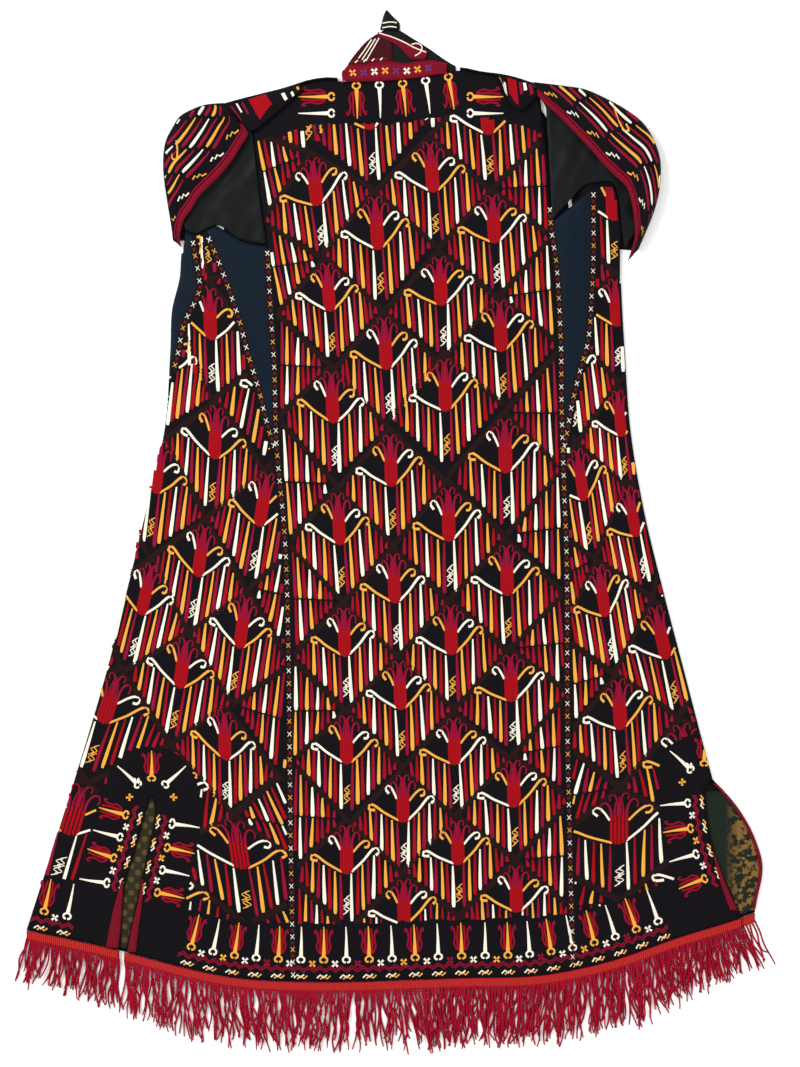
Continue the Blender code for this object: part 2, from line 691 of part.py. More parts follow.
def underarms():
    """Black cloth that shows inside both sleeves, kept clear of the back's seams."""
    left = [
        [(min(x, read(BACK_SEAM_LEFT, y) - 2 * SEAM), y, z) for x, y, z in row]
        for row in sections_grid(UNDERARM_LEFT, 8, upper_height)
    ]
    right = [
        [(max(x, read(BACK_SEAM_RIGHT, y) + 2 * SEAM), y, z) for x, y, z in row]
        for row in sections_grid(UNDERARM_RIGHT, 8, upper_height)
    ]
    sheet("underarm_left", [left], BLACK, 0.45)
    sheet("underarm_right", [right], BLACK, 0.45)


def neck():
    """Neck band, and the front neck corner that lies above the back neckline with its inside up."""
    sheet("neck_band", [sections_grid(NECK_BAND, 2, flat(NECK_BAND_HEIGHT))], MADDER_RED)
    sheet("neck_facing_right", [sections_grid(NECK_FACING_RIGHT, 3, flat(LOWER))], BLACK)
    sheet("neck_facing_left", [sections_grid(NECK_FACING_LEFT, 3, flat(LINING))], MAROON, wall=THIN_WALL)
    sheet("neck_trim", [sections_grid(NECK_TRIM, 2, flat(TRIM_HEIGHT))], MADDER_RED, wall=THIN_WALL)

    def tip_height(x, y):
        return LINING - NECK_TIP_DROOP * ease((y - NECK_TIP[1].top_y) / (NECK_TIP[-1].top_y - NECK_TIP[1].top_y))

    sheet("neck_tip", [sections_grid(NECK_TIP, 2, tip_height)], BLACK, wall=THIN_WALL)


def strip_grid(strips, height):
    """Grid of a narrow strip given by its two edges."""
    return [
        [(x, strip.y, height(x, strip.y)) for x in (strip.left, (strip.left + strip.right) / 2, strip.right)]
        for strip in strips
    ]


def vent_trims():
    """Red facings and binding at the vents, and the printed lining seen through them."""
    def on_back(x, y):
        return upper_height(x, y) + WALL / 2 + GAP + THIN_WALL / 2

    sheet("vent_facing_left_outer", [strip_grid(FACING_LEFT_OUTER, on_back)], MADDER_RED, wall=THIN_WALL)
    sheet("vent_facing_left_inner", [strip_grid(FACING_LEFT_INNER, on_back)], MADDER_RED, wall=THIN_WALL)
    sheet("vent_facing_right", [strip_grid(FACING_RIGHT, on_back)], MADDER_RED, wall=THIN_WALL)

    lining_left, lining_right, binding = [], [], []
    for level in levels(LEFT_VENT_TOP + 8, HEM_LEVEL + 4):
        left = on_edge(VENT_LEFT_OUTER, level) - 14
        right = on_edge(VENT_LEFT_INNER, level) + 14
        lining_left.append(across(left, right, level, 3, height=flat(LINING)))
    for level in levels(RIGHT_VENT_TOP - 14, HEM_LEVEL + 4):
        left = on_edge(VENT_RIGHT_BACK, level) - 24
        right = on_edge(VENT_RIGHT_FRONT, level) - 1.5
        lining_right.append(across(left, right, level, 4, height=flat(LINING)))
    for y in BINDING_LEVELS:
        edge = read(VENT_RIGHT_FRONT, y)
        height = LINING + THIN_WALL + GAP
        binding.append([(edge - BINDING_WIDTH * share, y, height) for share in (1.0, 0.5, 0.0)])
    sheet("vent_lining_left", [lining_left], PRINTED_OLIVE, wall=THIN_WALL)
    sheet("vent_lining_right", [lining_right], PRINTED_OLIVE, wall=THIN_WALL)
    sheet("vent_binding_right", [binding], MADDER_RED, wall=THIN_WALL)


Stop = namedtuple("Stop", "x y z normal_x normal_z cord")


def flat_run(start_x, end_x, height, count):
    """Evenly spaced stops of braid along the hem at one height, each with a cord."""
    return [
        Stop(x, read(HEM, x) - BRAID_GAP, height, 0.0, 1.0, True)
        for x in (mix(start_x, end_x, share) for share in shares(count))
    ]


def cord_length(x, number):
    """Length of one cord of the fringe, uneven from cord to cord and shorter at the robe's sides."""
    uneven = 0.86 + 0.14 * math.sin(number * 2.4) * math.cos(number * 0.7)
    side_loss = 22 * ease((abs(x) - 250) / 200)
    return (CORD_LENGTH - side_loss) * uneven


def cord_drift(x, distance):
    """Sideways drift of a cord: neighbours drift alike, so cords bend together and stay apart."""
    sway = 0.09 * math.sin(x / 40 + 0.8) + 0.05 * math.sin(x / 25 + 2.1)
    splay = 0.62 * ease((x - 330) / 90) - 0.40 * ease((-x - 370) / 70)
    curl = 1.4 * math.sin(distance / 13 + x / 20)
    return distance * (sway + splay) + curl * ease(distance / 20)


def cord_rings(root_x, root_y, start, rest, number):
    """Square rings along one cord, from just under the braid to its end."""
    length = cord_length(root_x, number)
    rings = []
    for share in (0.07, 0.5, 1.0):
        distance = length * share
        x = root_x + cord_drift(root_x, distance)
        y = root_y - distance
        z = mix(start, rest, ease(share * 1.5))
        half_width = CORD_WIDTH / 2 * (1 - 0.35 * share)
        half_thickness = CORD_THICKNESS / 2
        rings.append([
            (x - half_width, y, z + half_thickness), (x + half_width, y, z + half_thickness),
            (x + half_width, y, z - half_thickness), (x - half_width, y, z - half_thickness),
        ])
    return rings


def fringe(name, stops):
    """Woven braid along the hem, with the cords of the fringe growing out of its lower edge."""
    mesh = bpy.data.meshes.new(name)
    shape = bmesh.new()

    def corner(stop, drop, outward):
        reach = outward * WALL / 2
        place = (stop.x + stop.normal_x * reach, stop.y - drop, stop.z + stop.normal_z * reach)
        return shape.verts.new(in_metres(place))

    posts = [
        [corner(stop, 0, 1), corner(stop, BRAID, 1), corner(stop, BRAID, -1), corner(stop, 0, -1)]
        for stop in stops
    ]
    for number, (stop, here, there) in enumerate(zip(stops, posts, posts[1:])):
        shape.faces.new((here[0], here[1], there[1], there[0]))
        shape.faces.new((here[3], here[0], there[0], there[3]))
        shape.faces.new((here[2], here[3], there[3], there[2]))
        follow = stops[number + 1]
        left, right = (here, there) if stop.x < follow.x else (there, here)
        up, down = (1, 2) if stop.normal_z > 0 else (2, 1)
        ring = [left[up], right[up], right[down], left[down]]
        if not stop.cord:
            shape.faces.new(ring)
            continue
        above = stop.z > (UPPER + LOWER) / 2
        start = UPPER if above else CORD_FLOOR + CORD_THICKNESS / 2
        rest = UPPER - 0.7 if above else start
        root_x = (stop.x + follow.x) / 2
        root_y = (stop.y + follow.y) / 2 - BRAID
        for places in cord_rings(root_x, root_y, start, rest, number):
            following = [shape.verts.new(in_metres(place)) for place in places]
            for side in range(4):
                beside = (side + 1) % 4
                shape.faces.new((ring[side], following[side], following[beside], ring[beside]))
            ring = following
        shape.faces.new(ring)
    shape.faces.new(posts[0][::-1])
    shape.faces.new(posts[-1])
    bmesh.ops.recalc_face_normals(shape, faces=shape.faces)
    if shape.calc_volume(signed=True) < 0:
        bmesh.ops.reverse_faces(shape, faces=shape.faces)
    shape.to_mesh(mesh)
    shape.free()
    mesh.materials.append(cloth_material(name, MADDER_RED, 0.75))
    piece = bpy.data.objects.new(name, mesh)
    bpy.context.scene.collection.objects.link(piece)
    return piece


def fringes():
    """Fringed braid of the back and of both fronts. The left front's turns under at the side fold."""
    back_start = read(VENT_LEFT_INNER, -502) + 0.5
    back_end = read(VENT_RIGHT_BACK, -456) + 2
    fringe("fringe_back", flat_run(back_start, back_end, UPPER, 100))

    fold = on_edge(FOLD_LEFT, HEM_LEVEL)
    y = read(HEM, fold) - BRAID_GAP
    shown = flat_run(read(VENT_LEFT_OUTER, -498) - 0.5, fold + FOLD_REACH, UPPER, 18)
    turn = []
    middle = (UPPER + LOWER) / 2
    for angle in (90, 45, 0, -45):
        sine, cosine = math.sin(math.radians(angle)), math.cos(math.radians(angle))
        turn.append(Stop(fold + FOLD_REACH - ROLL * cosine, y, middle + ROLL * sine, -cosine, sine, False))
    hidden = [
        stop._replace(normal_z=-1.0)
        for stop in flat_run(fold + FOLD_REACH, read(FRONT_CENTRE, HEM_LEVEL) - FRONT_PARTING, LOWER, 26)
    ]
    fringe("fringe_front_left", shown[:-1] + turn + hidden)

    front_edge = read(VENT_RIGHT_FRONT, -456)
    fringe("fringe_front_right", flat_run(read(FRONT_CENTRE, HEM_LEVEL) + FRONT_PARTING, front_edge, LOWER, 28))


def robe():
    """Build every piece of the robe."""
    front_panel("front_left", FRONT_SIDE_LEFT, -1, NECK_LEFT)
    front_panel("front_right", FRONT_SIDE_RIGHT, 1, NECK_RIGHT)
    back_panel()
    gussets()
    gore_left()
    gore_right()
    underarms()
    sleeve("left", SLEEVE_LEFT, False)
    sleeve("right", SLEEVE_RIGHT, True)
    shoulder_corner("left", SHOULDER_LEFT)
    shoulder_corner("right", SHOULDER_RIGHT)
    neck()
    vent_trims()
    fringes()


clear_scene()
robe()
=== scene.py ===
"""Bridal robe of dark silk with lacing-stitch embroidery, laid face down on a pale floor with its back up.

X runs across the robe, Y up it towards the neck and Z up from the floor. Tables and sizes are in
millimetres; meshes are made in metres by `in_metres`.
"""

import logging
import math
from collections import namedtuple
from dataclasses import dataclass, field
from enum import Enum
from typing import Callable, Iterable, Sequence

import bmesh
import bpy
import numpy as np
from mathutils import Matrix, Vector


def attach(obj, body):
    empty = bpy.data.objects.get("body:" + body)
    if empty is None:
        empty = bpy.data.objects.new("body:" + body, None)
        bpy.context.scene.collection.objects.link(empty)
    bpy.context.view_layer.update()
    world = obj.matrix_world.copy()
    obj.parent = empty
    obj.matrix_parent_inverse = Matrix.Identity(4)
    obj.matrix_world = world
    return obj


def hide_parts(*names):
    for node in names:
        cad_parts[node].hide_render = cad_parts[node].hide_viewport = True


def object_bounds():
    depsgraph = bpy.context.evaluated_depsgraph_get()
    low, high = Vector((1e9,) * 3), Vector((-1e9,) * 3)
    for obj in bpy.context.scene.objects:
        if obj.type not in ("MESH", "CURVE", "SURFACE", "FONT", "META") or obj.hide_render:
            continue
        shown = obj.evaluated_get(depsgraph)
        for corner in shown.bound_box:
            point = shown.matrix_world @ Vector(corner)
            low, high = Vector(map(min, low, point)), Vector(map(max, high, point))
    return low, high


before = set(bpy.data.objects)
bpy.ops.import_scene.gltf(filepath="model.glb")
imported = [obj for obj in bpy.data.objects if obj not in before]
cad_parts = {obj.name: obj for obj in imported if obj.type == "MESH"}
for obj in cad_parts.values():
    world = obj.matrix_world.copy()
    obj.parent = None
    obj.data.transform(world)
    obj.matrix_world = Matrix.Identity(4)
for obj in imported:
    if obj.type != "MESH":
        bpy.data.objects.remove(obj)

logging.basicConfig(level=logging.INFO, format="%(message)s")
LOG = logging.getLogger("robe")
SOLID_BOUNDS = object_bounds()

MM = 0.001
CENTRE_X = -4.05
CENTRE_Y = -0.05
SEED = 11

WALL = 1.8
THIN_WALL = 1.0
GAP = 0.35
LOWER = 0.9
LINING = WALL + GAP + THIN_WALL / 2
UPPER = 4.3
ROLL = (UPPER - LOWER) / 2
FOLD_REACH = ROLL + WALL / 2

TOP_LEVEL = 550
TOP_BEND = 484
HEM_BEND = -300
HEM_LEVEL = -538
UNDERARM_LEVEL = 357
UNDERARM_BEND = 300
LEFT_WRAP_LEVEL = 333
LEFT_GUSSET_END = 186
GUSSET_TIP = 100
RIGHT_GORE_TOP = 398
RIGHT_WRAP_LEVEL = 300
LEFT_VENT_TOP = -313
RIGHT_VENT_TOP = -296
LEFT_VENT_SHARE = 0.378
SHOULDER_GAP = 2.2
BRAID = 11.0

Edge = namedtuple("Edge", "y x")
Line = namedtuple("Line", "x y")
Section = namedtuple("Section", "top_x top_y low_x low_y")
Station = namedtuple("Station", "outer_x outer_y band_x band_y seam_x seam_y crown rim")
Crease = namedtuple("Crease", "x0 y0 x1 y1 width rise")
Strip = namedtuple("Strip", "y left right")

SHOULDER = [
    Line(-211, 517), Line(-184, 524), Line(-137, 536), Line(-109, 545), Line(-88, 548),
    Line(-67, 547), Line(-36, 548), Line(-8, 549), Line(19, 552), Line(48, 556),
    Line(71, 560), Line(98, 555), Line(127, 551), Line(157, 542), Line(169, 534),
]
HEM = [
    Line(-452, -475), Line(-355, -496), Line(-211, -531), Line(-96, -538), Line(77, -533),
    Line(168, -530), Line(252, -513), Line(336, -484), Line(398, -465), Line(440, -450),
]
BACK_SEAM_LEFT = [
    Edge(550, -179), Edge(484, -177), Edge(444, -172), Edge(396, -167), Edge(346, -160),
    Edge(264, -155), Edge(201, -151), Edge(104, -148), Edge(-8, -138), Edge(-140, -134),
    Edge(-380, -131), Edge(-540, -128),
]
BACK_SEAM_RIGHT = [
    Edge(550, 165), Edge(484, 173), Edge(436, 178), Edge(370, 181), Edge(320, 188),
    Edge(226, 193), Edge(148, 194), Edge(50, 197), Edge(-32, 200), Edge(-236, 201),
    Edge(-344, 203), Edge(-540, 208),
]
FOLD_LEFT = [
    Edge(364, -260), Edge(336, -263), Edge(306, -265), Edge(268, -274), Edge(220, -276),
    Edge(124, -283), Edge(28, -305), Edge(-68, -328), Edge(-164, -352), Edge(-260, -380),
    Edge(-356, -410), Edge(-480, -450),
]
FOLD_RIGHT = [
    Edge(330, 265), Edge(292, 266), Edge(220, 270), Edge(124, 277), Edge(28, 293),
    Edge(-68, 316), Edge(-164, 341), Edge(-260, 366), Edge(-300, 377),
]
GORE_LEFT_INNER = [
    Edge(364, -234), Edge(322, -216), Edge(260, -194), Edge(214, -182), Edge(171, -169),
    Edge(126, -158), Edge(100, -149),
]
GORE_LEFT_OUTER = [
    Edge(364, -249), Edge(346, -248), Edge(306, -241), Edge(290, -241), Edge(251, -259),
    Edge(209, -268), Edge(186, -275),
]
GORE_RIGHT_INNER = [
    Edge(420, 232), Edge(329, 232), Edge(286, 230), Edge(233, 226), Edge(191, 215),
    Edge(148, 205), Edge(112, 199), Edge(100, 196),
]
GORE_RIGHT_OUTER = [Edge(420, 255), Edge(398, 261), Edge(370, 264), Edge(330, 264)]
FRONT_SIDE_LEFT = [
    Edge(524, -201), Edge(500, -204), Edge(478, -210), Edge(340, -212), Edge(100, -222), Edge(-540, -300),
]
FRONT_SIDE_RIGHT = [
    Edge(545, 153), Edge(530, 158), Edge(512, 169), Edge(496, 178), Edge(478, 186), Edge(400, 202),
    Edge(326, 206), Edge(-540, 252),
]
FRONT_CENTRE = [Edge(550, -8), Edge(-540, 20)]
VENT_LEFT_OUTER = [Edge(-313, -298), Edge(-334, -305), Edge(-386, -319), Edge(-417, -329), Edge(-498, -336)]
VENT_LEFT_INNER = [Edge(-313, -298), Edge(-334, -294), Edge(-382, -303), Edge(-441, -316), Edge(-502, -329)]
VENT_RIGHT_BACK = [Edge(-296, 365), Edge(-348, 370), Edge(-381, 377), Edge(-421, 392), Edge(-456, 408)]
VENT_RIGHT_FRONT = [
    Edge(-296, 376), Edge(-315, 394), Edge(-336, 410), Edge(-364, 425), Edge(-400, 435),
    Edge(-442, 428), Edge(-460, 425),
]
UNDERARM_HEM_LEFT = [
    Line(-260, 363), Line(-246, 359), Line(-234, 364), Line(-220, 369), Line(-204, 360),
    Line(-194, 353), Line(-181, 348), Line(-158, 346),
]
UNDERARM_LEFT = [
    Section(-263, 374, -257, 364), Section(-256, 400, -245, 360), Section(-244, 417, -234, 365),
    Section(-230, 432, -222, 370), Section(-216, 448, -213, 368), Section(-203, 464, -203, 360),
    Section(-191, 479, -191, 353), Section(-182, 488, -175, 349), Section(-177, 478, -160, 347),
]
UNDERARM_RIGHT = [
    Section(175, 514, 182, 375), Section(193, 508, 192, 388), Section(212, 491, 205, 401),
    Section(230, 473, 221, 418), Section(248, 458, 238, 422), Section(266, 442, 256, 421),
    Section(281, 420, 263, 400), Section(286, 390, 266, 367), Section(284, 362, 270, 340),
]
SLEEVE_LEFT = [
    Station(-212, 516, -186, 487, -213, 509, 10, 9.5),
    Station(-232, 514, -182, 478, -213, 494, 13, 11),
    Station(-247, 509, -189, 466, -213, 479, 16, 12.5),
    Station(-263, 500, -198, 451, -213, 464, 18, 13.5),
    Station(-273, 485, -210, 435, -213.5, 449, 19, 14),
    Station(-280, 471, -225, 419, -214, 434, 19, 14),
    Station(-283, 455, -239, 405, -214, 419, 19, 14),
    Station(-283, 430, -250, 388, -214, 404, 17, 13),
    Station(-279, 400, -259, 375, -214.5, 389, 14, 11),
    Station(-274, 369, -264, 356, -215, 374, 10, 8),
    Station(-272, 352, -262, 343, -240, 356, 9, 7.5),
]
SLEEVE_RIGHT = [
    Station(160, 541, 165, 524, 166.5, 530, 9.5, 9.5),
    Station(176, 539, 177, 512, 175, 512, 12, 10.5),
    Station(198, 536, 194, 496, 184, 496, 16, 12),
    Station(221, 532, 211, 478, 192, 478, 20, 14),
    Station(244, 522, 228, 460, 197, 462, 23, 15),
    Station(266, 510, 244, 441, 200, 446, 25, 16),
    Station(288, 494, 259, 426, 202.5, 431, 27, 17),
    Station(302, 474, 271, 414, 204.5, 416, 28, 17),
    Station(311, 448, 277, 396, 206, 401, 28, 17),
    Station(311, 418, 280, 376, 207.5, 386, 26, 16),
    Station(304, 386, 281, 354, 208, 371, 21, 13),
    Station(286, 342, 273, 326, 230, 344, 13, 9.5),
]
SHOULDER_LEFT = [
    Section(-120, 540, -116, 532), Section(-137, 534, -130, 520), Section(-164, 528, -149, 503),
    Section(-184, 522, -166, 489), Section(-198, 519, -177, 482), Section(-211.2, 515.6, -185.4, 487.3),
]
SHOULDER_RIGHT = [
    Section(116, 551, 122, 540), Section(127, 549, 131, 515), Section(142, 545, 146, 507),
    Section(159.2, 540.5, 164.2, 524),
]
SHOULDER_RISE = 4.5
NECK_BAND = [
    Section(-70, 552, -69, 543), Section(-61, 562, -60, 542), Section(-44, 563, -44, 542),
    Section(-16, 567, -16, 543), Section(7, 564, 7, 545), Section(24, 567, 24, 547),
    Section(42, 567, 42, 550), Section(56, 562, 56, 552.5),
]
NECK_FACING_RIGHT = [
    Section(-26, 600, -26, 544), Section(-15, 606, -15, 544), Section(-3, 605, -3, 544),
    Section(16, 594, 16, 544), Section(35, 582, 35, 544), Section(55, 568, 55, 544),
    Section(67, 561, 67, 544),
]
NECK_FACING_LEFT = [
    Section(-68, 552, -68, 544), Section(-60, 567, -60, 544), Section(-50, 580, -50, 544),
    Section(-41, 590, -41, 544), Section(-30, 598, -30, 544), Section(-20, 602, -20, 544),
    Section(-10, 593, -5, 544),
]
NECK_TRIM = [
    Section(-27, 602, -26, 596), Section(-10, 597, -11, 590), Section(6, 591, 2, 581),
    Section(17, 587, 12, 570), Section(34, 579, 30, 568),
]
NECK_TIP = [
    Section(-24, 604.5, 0, 604.5), Section(-22, 613, -1, 613), Section(-20, 621, -8, 620),
    Section(-17, 628.4, -15, 628),
]
TRIM_HEIGHT = LINING + THIN_WALL + GAP
NECK_BAND_HEIGHT = UPPER + WALL + GAP
FACING_LEFT_OUTER = [Strip(-415, -333.5, -332), Strip(-440, -341, -333), Strip(-470, -348, -335), Strip(-497, -353, -338)]
FACING_LEFT_INNER = [Strip(-415, -309.5, -308), Strip(-441, -314, -309), Strip(-470, -321, -313), Strip(-502, -327, -317)]
FACING_RIGHT = [Strip(-381, 374.5, 376), Strip(-421, 385, 391), Strip(-452, 396, 405)]

# Ridges of the cloth; the last ones are soft and only shade it
CREASES = [
    Crease(-232, 345, -170, 300, 12, 1.6), Crease(-222, 318, -166, 250, 10, 1.4),
    Crease(-205, 290, -172, 190, 9, 1.2), Crease(205, 375, 200, 200, 9, 1.8),
    Crease(219, 400, 218, 260, 8, 1.6), Crease(205, 480, 192, 400, 10, 1.8),
    Crease(225, 450, 204, 420, 9, 1.5), Crease(-240, 400, -190, 372, 11, 1.8),
    Crease(-215, 430, -178, 410, 9, 1.5), Crease(-100, 500, 110, 505, 16, 1.2),
    Crease(-60, 120, 90, 70, 26, 1.0), Crease(-210, -40, -170, -210, 22, 1.2),
    Crease(250, 40, 268, -160, 20, 1.2), Crease(-80, -250, 60, -330, 30, 1.0),
    Crease(-350, -330, -290, -250, 20, 1.0), Crease(300, -300, 330, -400, 22, 1.0),
    Crease(20, 380, 30, 200, 24, 1.0),
]


def in_metres(places: np.ndarray) -> np.ndarray:
    """Places of the tables, in metres from the middle of the robe's outline."""
    return (np.asarray(places, float) - (CENTRE_X, CENTRE_Y, 0.0)) * MM


def ease(share: np.ndarray) -> np.ndarray:
    """Smooth step from 0 to 1."""
    held = np.clip(share, 0.0, 1.0)
    return held * held * (3 - 2 * held)


def mix(start, end, share):
    """Straight mix of two values."""
    return start + (end - start) * share


def read(table: Sequence, at) -> np.ndarray:
    """Values of a two-column table on a smooth curve through its rows.

    Args:
        table: rows of a key and a value.
        at: keys to read, a number or an array.

    Returns:
        The values at those keys, held level beyond the table's ends.
    """
    rows = np.array(sorted(table), float)
    keys, values = rows[:, 0], rows[:, 1]
    last = len(keys) - 1
    before = np.maximum(np.arange(last + 1) - 1, 0)
    after = np.minimum(np.arange(last + 1) + 1, last)
    slopes = (values[after] - values[before]) / (keys[after] - keys[before])
    held = np.clip(np.asarray(at, float), keys[0], keys[-1])
    low = np.clip(np.searchsorted(keys, held, side="right") - 1, 0, last - 1)
    span = keys[low + 1] - keys[low]
    t = (held - keys[low]) / span
    return (
        (2 * t**3 - 3 * t**2 + 1) * values[low]
        + (t**3 - 2 * t**2 + t) * span * slopes[low]
        + (3 * t**2 - 2 * t**3) * values[low + 1]
        + (t**3 - t**2) * span * slopes[low + 1]
    )


def crease_rise(crease: Crease, x: np.ndarray, y: np.ndarray) -> np.ndarray:
    """Height that one crease adds: highest along its line and fading out at its ends."""
    along_x, along_y = crease.x1 - crease.x0, crease.y1 - crease.y0
    share = ((x - crease.x0) * along_x + (y - crease.y0) * along_y) / (along_x**2 + along_y**2)
    held = np.clip(share, 0.0, 1.0)
    off = np.hypot(x - mix(crease.x0, crease.x1, held), y - mix(crease.y0, crease.y1, held))
    near = np.minimum(off / (2 * crease.width), 1.0)
    return crease.rise * (0.5 + 0.5 * np.cos(math.pi * near))


def ripple(x: np.ndarray, y: np.ndarray) -> np.ndarray:
    """Shallow uneven waves of cloth that has been sewn all over and laid down."""
    broad = np.sin(x / 31 + np.sin(y / 57) * 1.7) * np.sin(y / 43 + np.sin(x / 71) * 1.3)
    fine = np.sin(x / 11.3 + y / 29 + 1.1) * np.sin(y / 17.9 - x / 53)
    return 0.26 + 0.20 * broad + 0.06 * fine


def upper_height(x: np.ndarray, y: np.ndarray) -> np.ndarray:
    """Height of the middle of the upper layer."""
    x, y = np.asarray(x, float), np.asarray(y, float)
    ridges = np.zeros(np.broadcast(x, y).shape)
    for crease in CREASES:
        ridges = np.maximum(ridges, crease_rise(crease, x, y))
    return UPPER + ridges + ripple(x, y)


def flat(height: float) -> Callable:
    """Height function of a flat layer."""
    return lambda x, y: np.full(np.broadcast(x, y).shape, float(height))


def thread_y(level, x) -> np.ndarray:
    """Y of a crosswise thread, straight in the body and bent to the shoulder line and the hem."""
    top_pull = ease((level - TOP_BEND) / (TOP_LEVEL - TOP_BEND))
    hem_pull = ease((HEM_BEND - level) / (HEM_BEND - HEM_LEVEL))
    to_top = read(SHOULDER, x) - FOLD_REACH - SHOULDER_GAP - TOP_LEVEL
    return level + top_pull * to_top + hem_pull * (read(HEM, x) - HEM_LEVEL)


def underarm_thread_y(level, x) -> np.ndarray:
    """Y of a crosswise thread below the left underarm, bent to the black cloth's lower edge."""
    pull = ease((level - UNDERARM_BEND) / (UNDERARM_LEVEL - UNDERARM_BEND))
    return thread_y(level, x) + pull * (read(UNDERARM_HEM_LEFT, x) - 2 * GAP - UNDERARM_LEVEL)


def right_underarm_y(level, x) -> np.ndarray:
    """Y of a crosswise thread of the right gusset, bent to the black cloth's slanting lower edge."""
    pull = ease((level - UNDERARM_BEND) / (RIGHT_GORE_TOP - UNDERARM_BEND))
    lowest, highest = UNDERARM_RIGHT[0], UNDERARM_RIGHT[4]
    share = (x - lowest.low_x) / (highest.low_x - lowest.low_x)
    edge = mix(lowest.low_y, highest.low_y, share) - 6 * GAP
    return thread_y(level, x) + pull * (edge - RIGHT_GORE_TOP)


def on_edge(edge: Sequence, level: float, thread: Callable = thread_y) -> float:
    """X on an edge where the thread at a level crosses it."""
    y = level
    for _ in range(3):
        x = float(read(edge, y))
        y = float(thread(level, x))
    return x


def across(left, right, level, count, thread=thread_y, height=upper_height) -> np.ndarray:
    """Points of one thread between two places, from the first to the second."""
    x = np.linspace(left, right, count + 1)
    y = thread(level, x)
    return np.stack([x, y, height(x, y)], axis=1)


def smooth_path(points: Sequence, count: int) -> np.ndarray:
    """Evenly parted points on a smooth curve through a few given ones."""
    rough = np.array(points, float)
    steps = np.hypot(*np.diff(rough, axis=0)[:, :2].T)
    along = np.concatenate([[0.0], np.cumsum(steps)])
    wanted = np.linspace(0.0, along[-1], count)
    return np.stack([read(list(zip(along, column)), wanted) for column in rough.T], axis=1)


class Thread(Enum):
    """Colours of the embroidery silk, in the order of the material slots."""

    RED = "thread_red"
    CRIMSON = "thread_crimson"
    YELLOW = "thread_yellow"
    WHITE = "thread_white"
    LATTICE = "thread_lattice"
    PURPLE = "thread_purple"
    BLACK = "thread_black"
    RIB = "thread_rib"


@dataclass
class ThreadWork:
    """Raised embroidery threads that follow one surface.

    Args:
        name: name of the mesh.
        place: gives the points of the surface at two arrays of pattern places.
        keep: tells which pattern places lie inside the piece; others are left out.
    """

    name: str
    place: Callable
    keep: Callable = None
    rng: np.random.Generator = None
    points: list = field(default_factory=list)
    faces: list = field(default_factory=list)
    slots: list = field(default_factory=list)
    uvs: list = field(default_factory=list)
    count: int = 0

    def __post_init__(self) -> None:
        """Seed this piece's own random numbers from its name."""
        self.rng = np.random.default_rng(SEED + sum(ord(letter) for letter in self.name))

    def ribbon(self, path: np.ndarray, widths, thread: Thread, rise: float = 0.7) -> None:
        """Lay one thread along a path.

        Args:
            path: two columns of pattern places.
            widths: full width along the path, a number or as many as the path has places.
            thread: colour of the silk.
            rise: height of the thread's middle over the cloth.
        """
        path = np.asarray(path, float)
        widths = np.broadcast_to(np.asarray(widths, float), (len(path),))
        if self.keep is None:
            self._run(path, widths, thread, rise)
            return
        inside = self.keep(path[:, 0], path[:, 1])
        start = None
        for index, held in enumerate([*inside, False]):
            if held and start is None:
                start = index
            elif not held and start is not None:
                if index - start > 1:
                    self._run(path[start:index], widths[start:index], thread, rise)
                start = None

    def _run(self, path: np.ndarray, widths: np.ndarray, thread: Thread, rise: float) -> None:
        """Add the points and faces of one unbroken thread."""
        ahead = np.gradient(path, axis=0)
        length = np.maximum(np.hypot(ahead[:, 0], ahead[:, 1]), 1e-6)
        side = np.stack([-ahead[:, 1], ahead[:, 0]], axis=1) / length[:, None]
        along = np.concatenate([[0.0], np.cumsum(np.hypot(*np.diff(path, axis=0).T))])
        rows = len(path)
        ends = np.minimum(1.0, 0.35 + np.minimum(np.arange(rows), np.arange(rows)[::-1]) * 0.65)
        for share, height in ((-1.0, 0.06), (0.0, rise), (1.0, 0.06)):
            spot = path + side * (widths * share / 2)[:, None]
            self.points.append(np.column_stack([spot, height * ends]))
            self.uvs.append(np.column_stack([widths * share / 2, along]))
        first = self.count
        for step in range(rows - 1):
            for column in (0, 1):
                low = first + column * rows + step
                self.faces.append((low, low + 1, low + rows + 1, low + rows))
                self.slots.append(thread)
        self.count += 3 * rows

    def curve(self, points: Sequence, width, thread: Thread, count: int = 14, rise: float = 0.7) -> None:
        """Lay a thread on a smooth curve through a few places, with its width tapering if two are given."""
        path = smooth_path(points, count)
        wide = np.linspace(*width, count) if isinstance(width, tuple) else width
        self.ribbon(path, wide, thread, rise)

    def build(self, finishes: "Finishes") -> bpy.types.Object:
        """Make the mesh of all threads, with one material for each colour used."""
        flat_points = np.concatenate(self.points)
        spots = self.place(flat_points[:, 0], flat_points[:, 1])
        spots[:, 2] += flat_points[:, 2]
        uvs = np.concatenate(self.uvs)
        mesh = bpy.data.meshes.new(self.name)
        mesh.from_pydata(in_metres(spots).tolist(), [], self.faces)
        used = sorted(set(self.slots), key=list(Thread).index)
        for thread in used:
            mesh.materials.append(finishes.thread(thread))
        mesh.polygons.foreach_set("material_index", [used.index(thread) for thread in self.slots])
        layer = mesh.uv_layers.new(name="thread")
        corners = np.zeros(len(mesh.loops), np.int32)
        mesh.loops.foreach_get("vertex_index", corners)
        layer.data.foreach_set("uv", (uvs[corners] * MM).ravel())
        piece = bpy.data.objects.new(self.name, mesh)
        bpy.context.scene.collection.objects.link(piece)
        mesh.shade_smooth()
        face_up(mesh)
        return piece


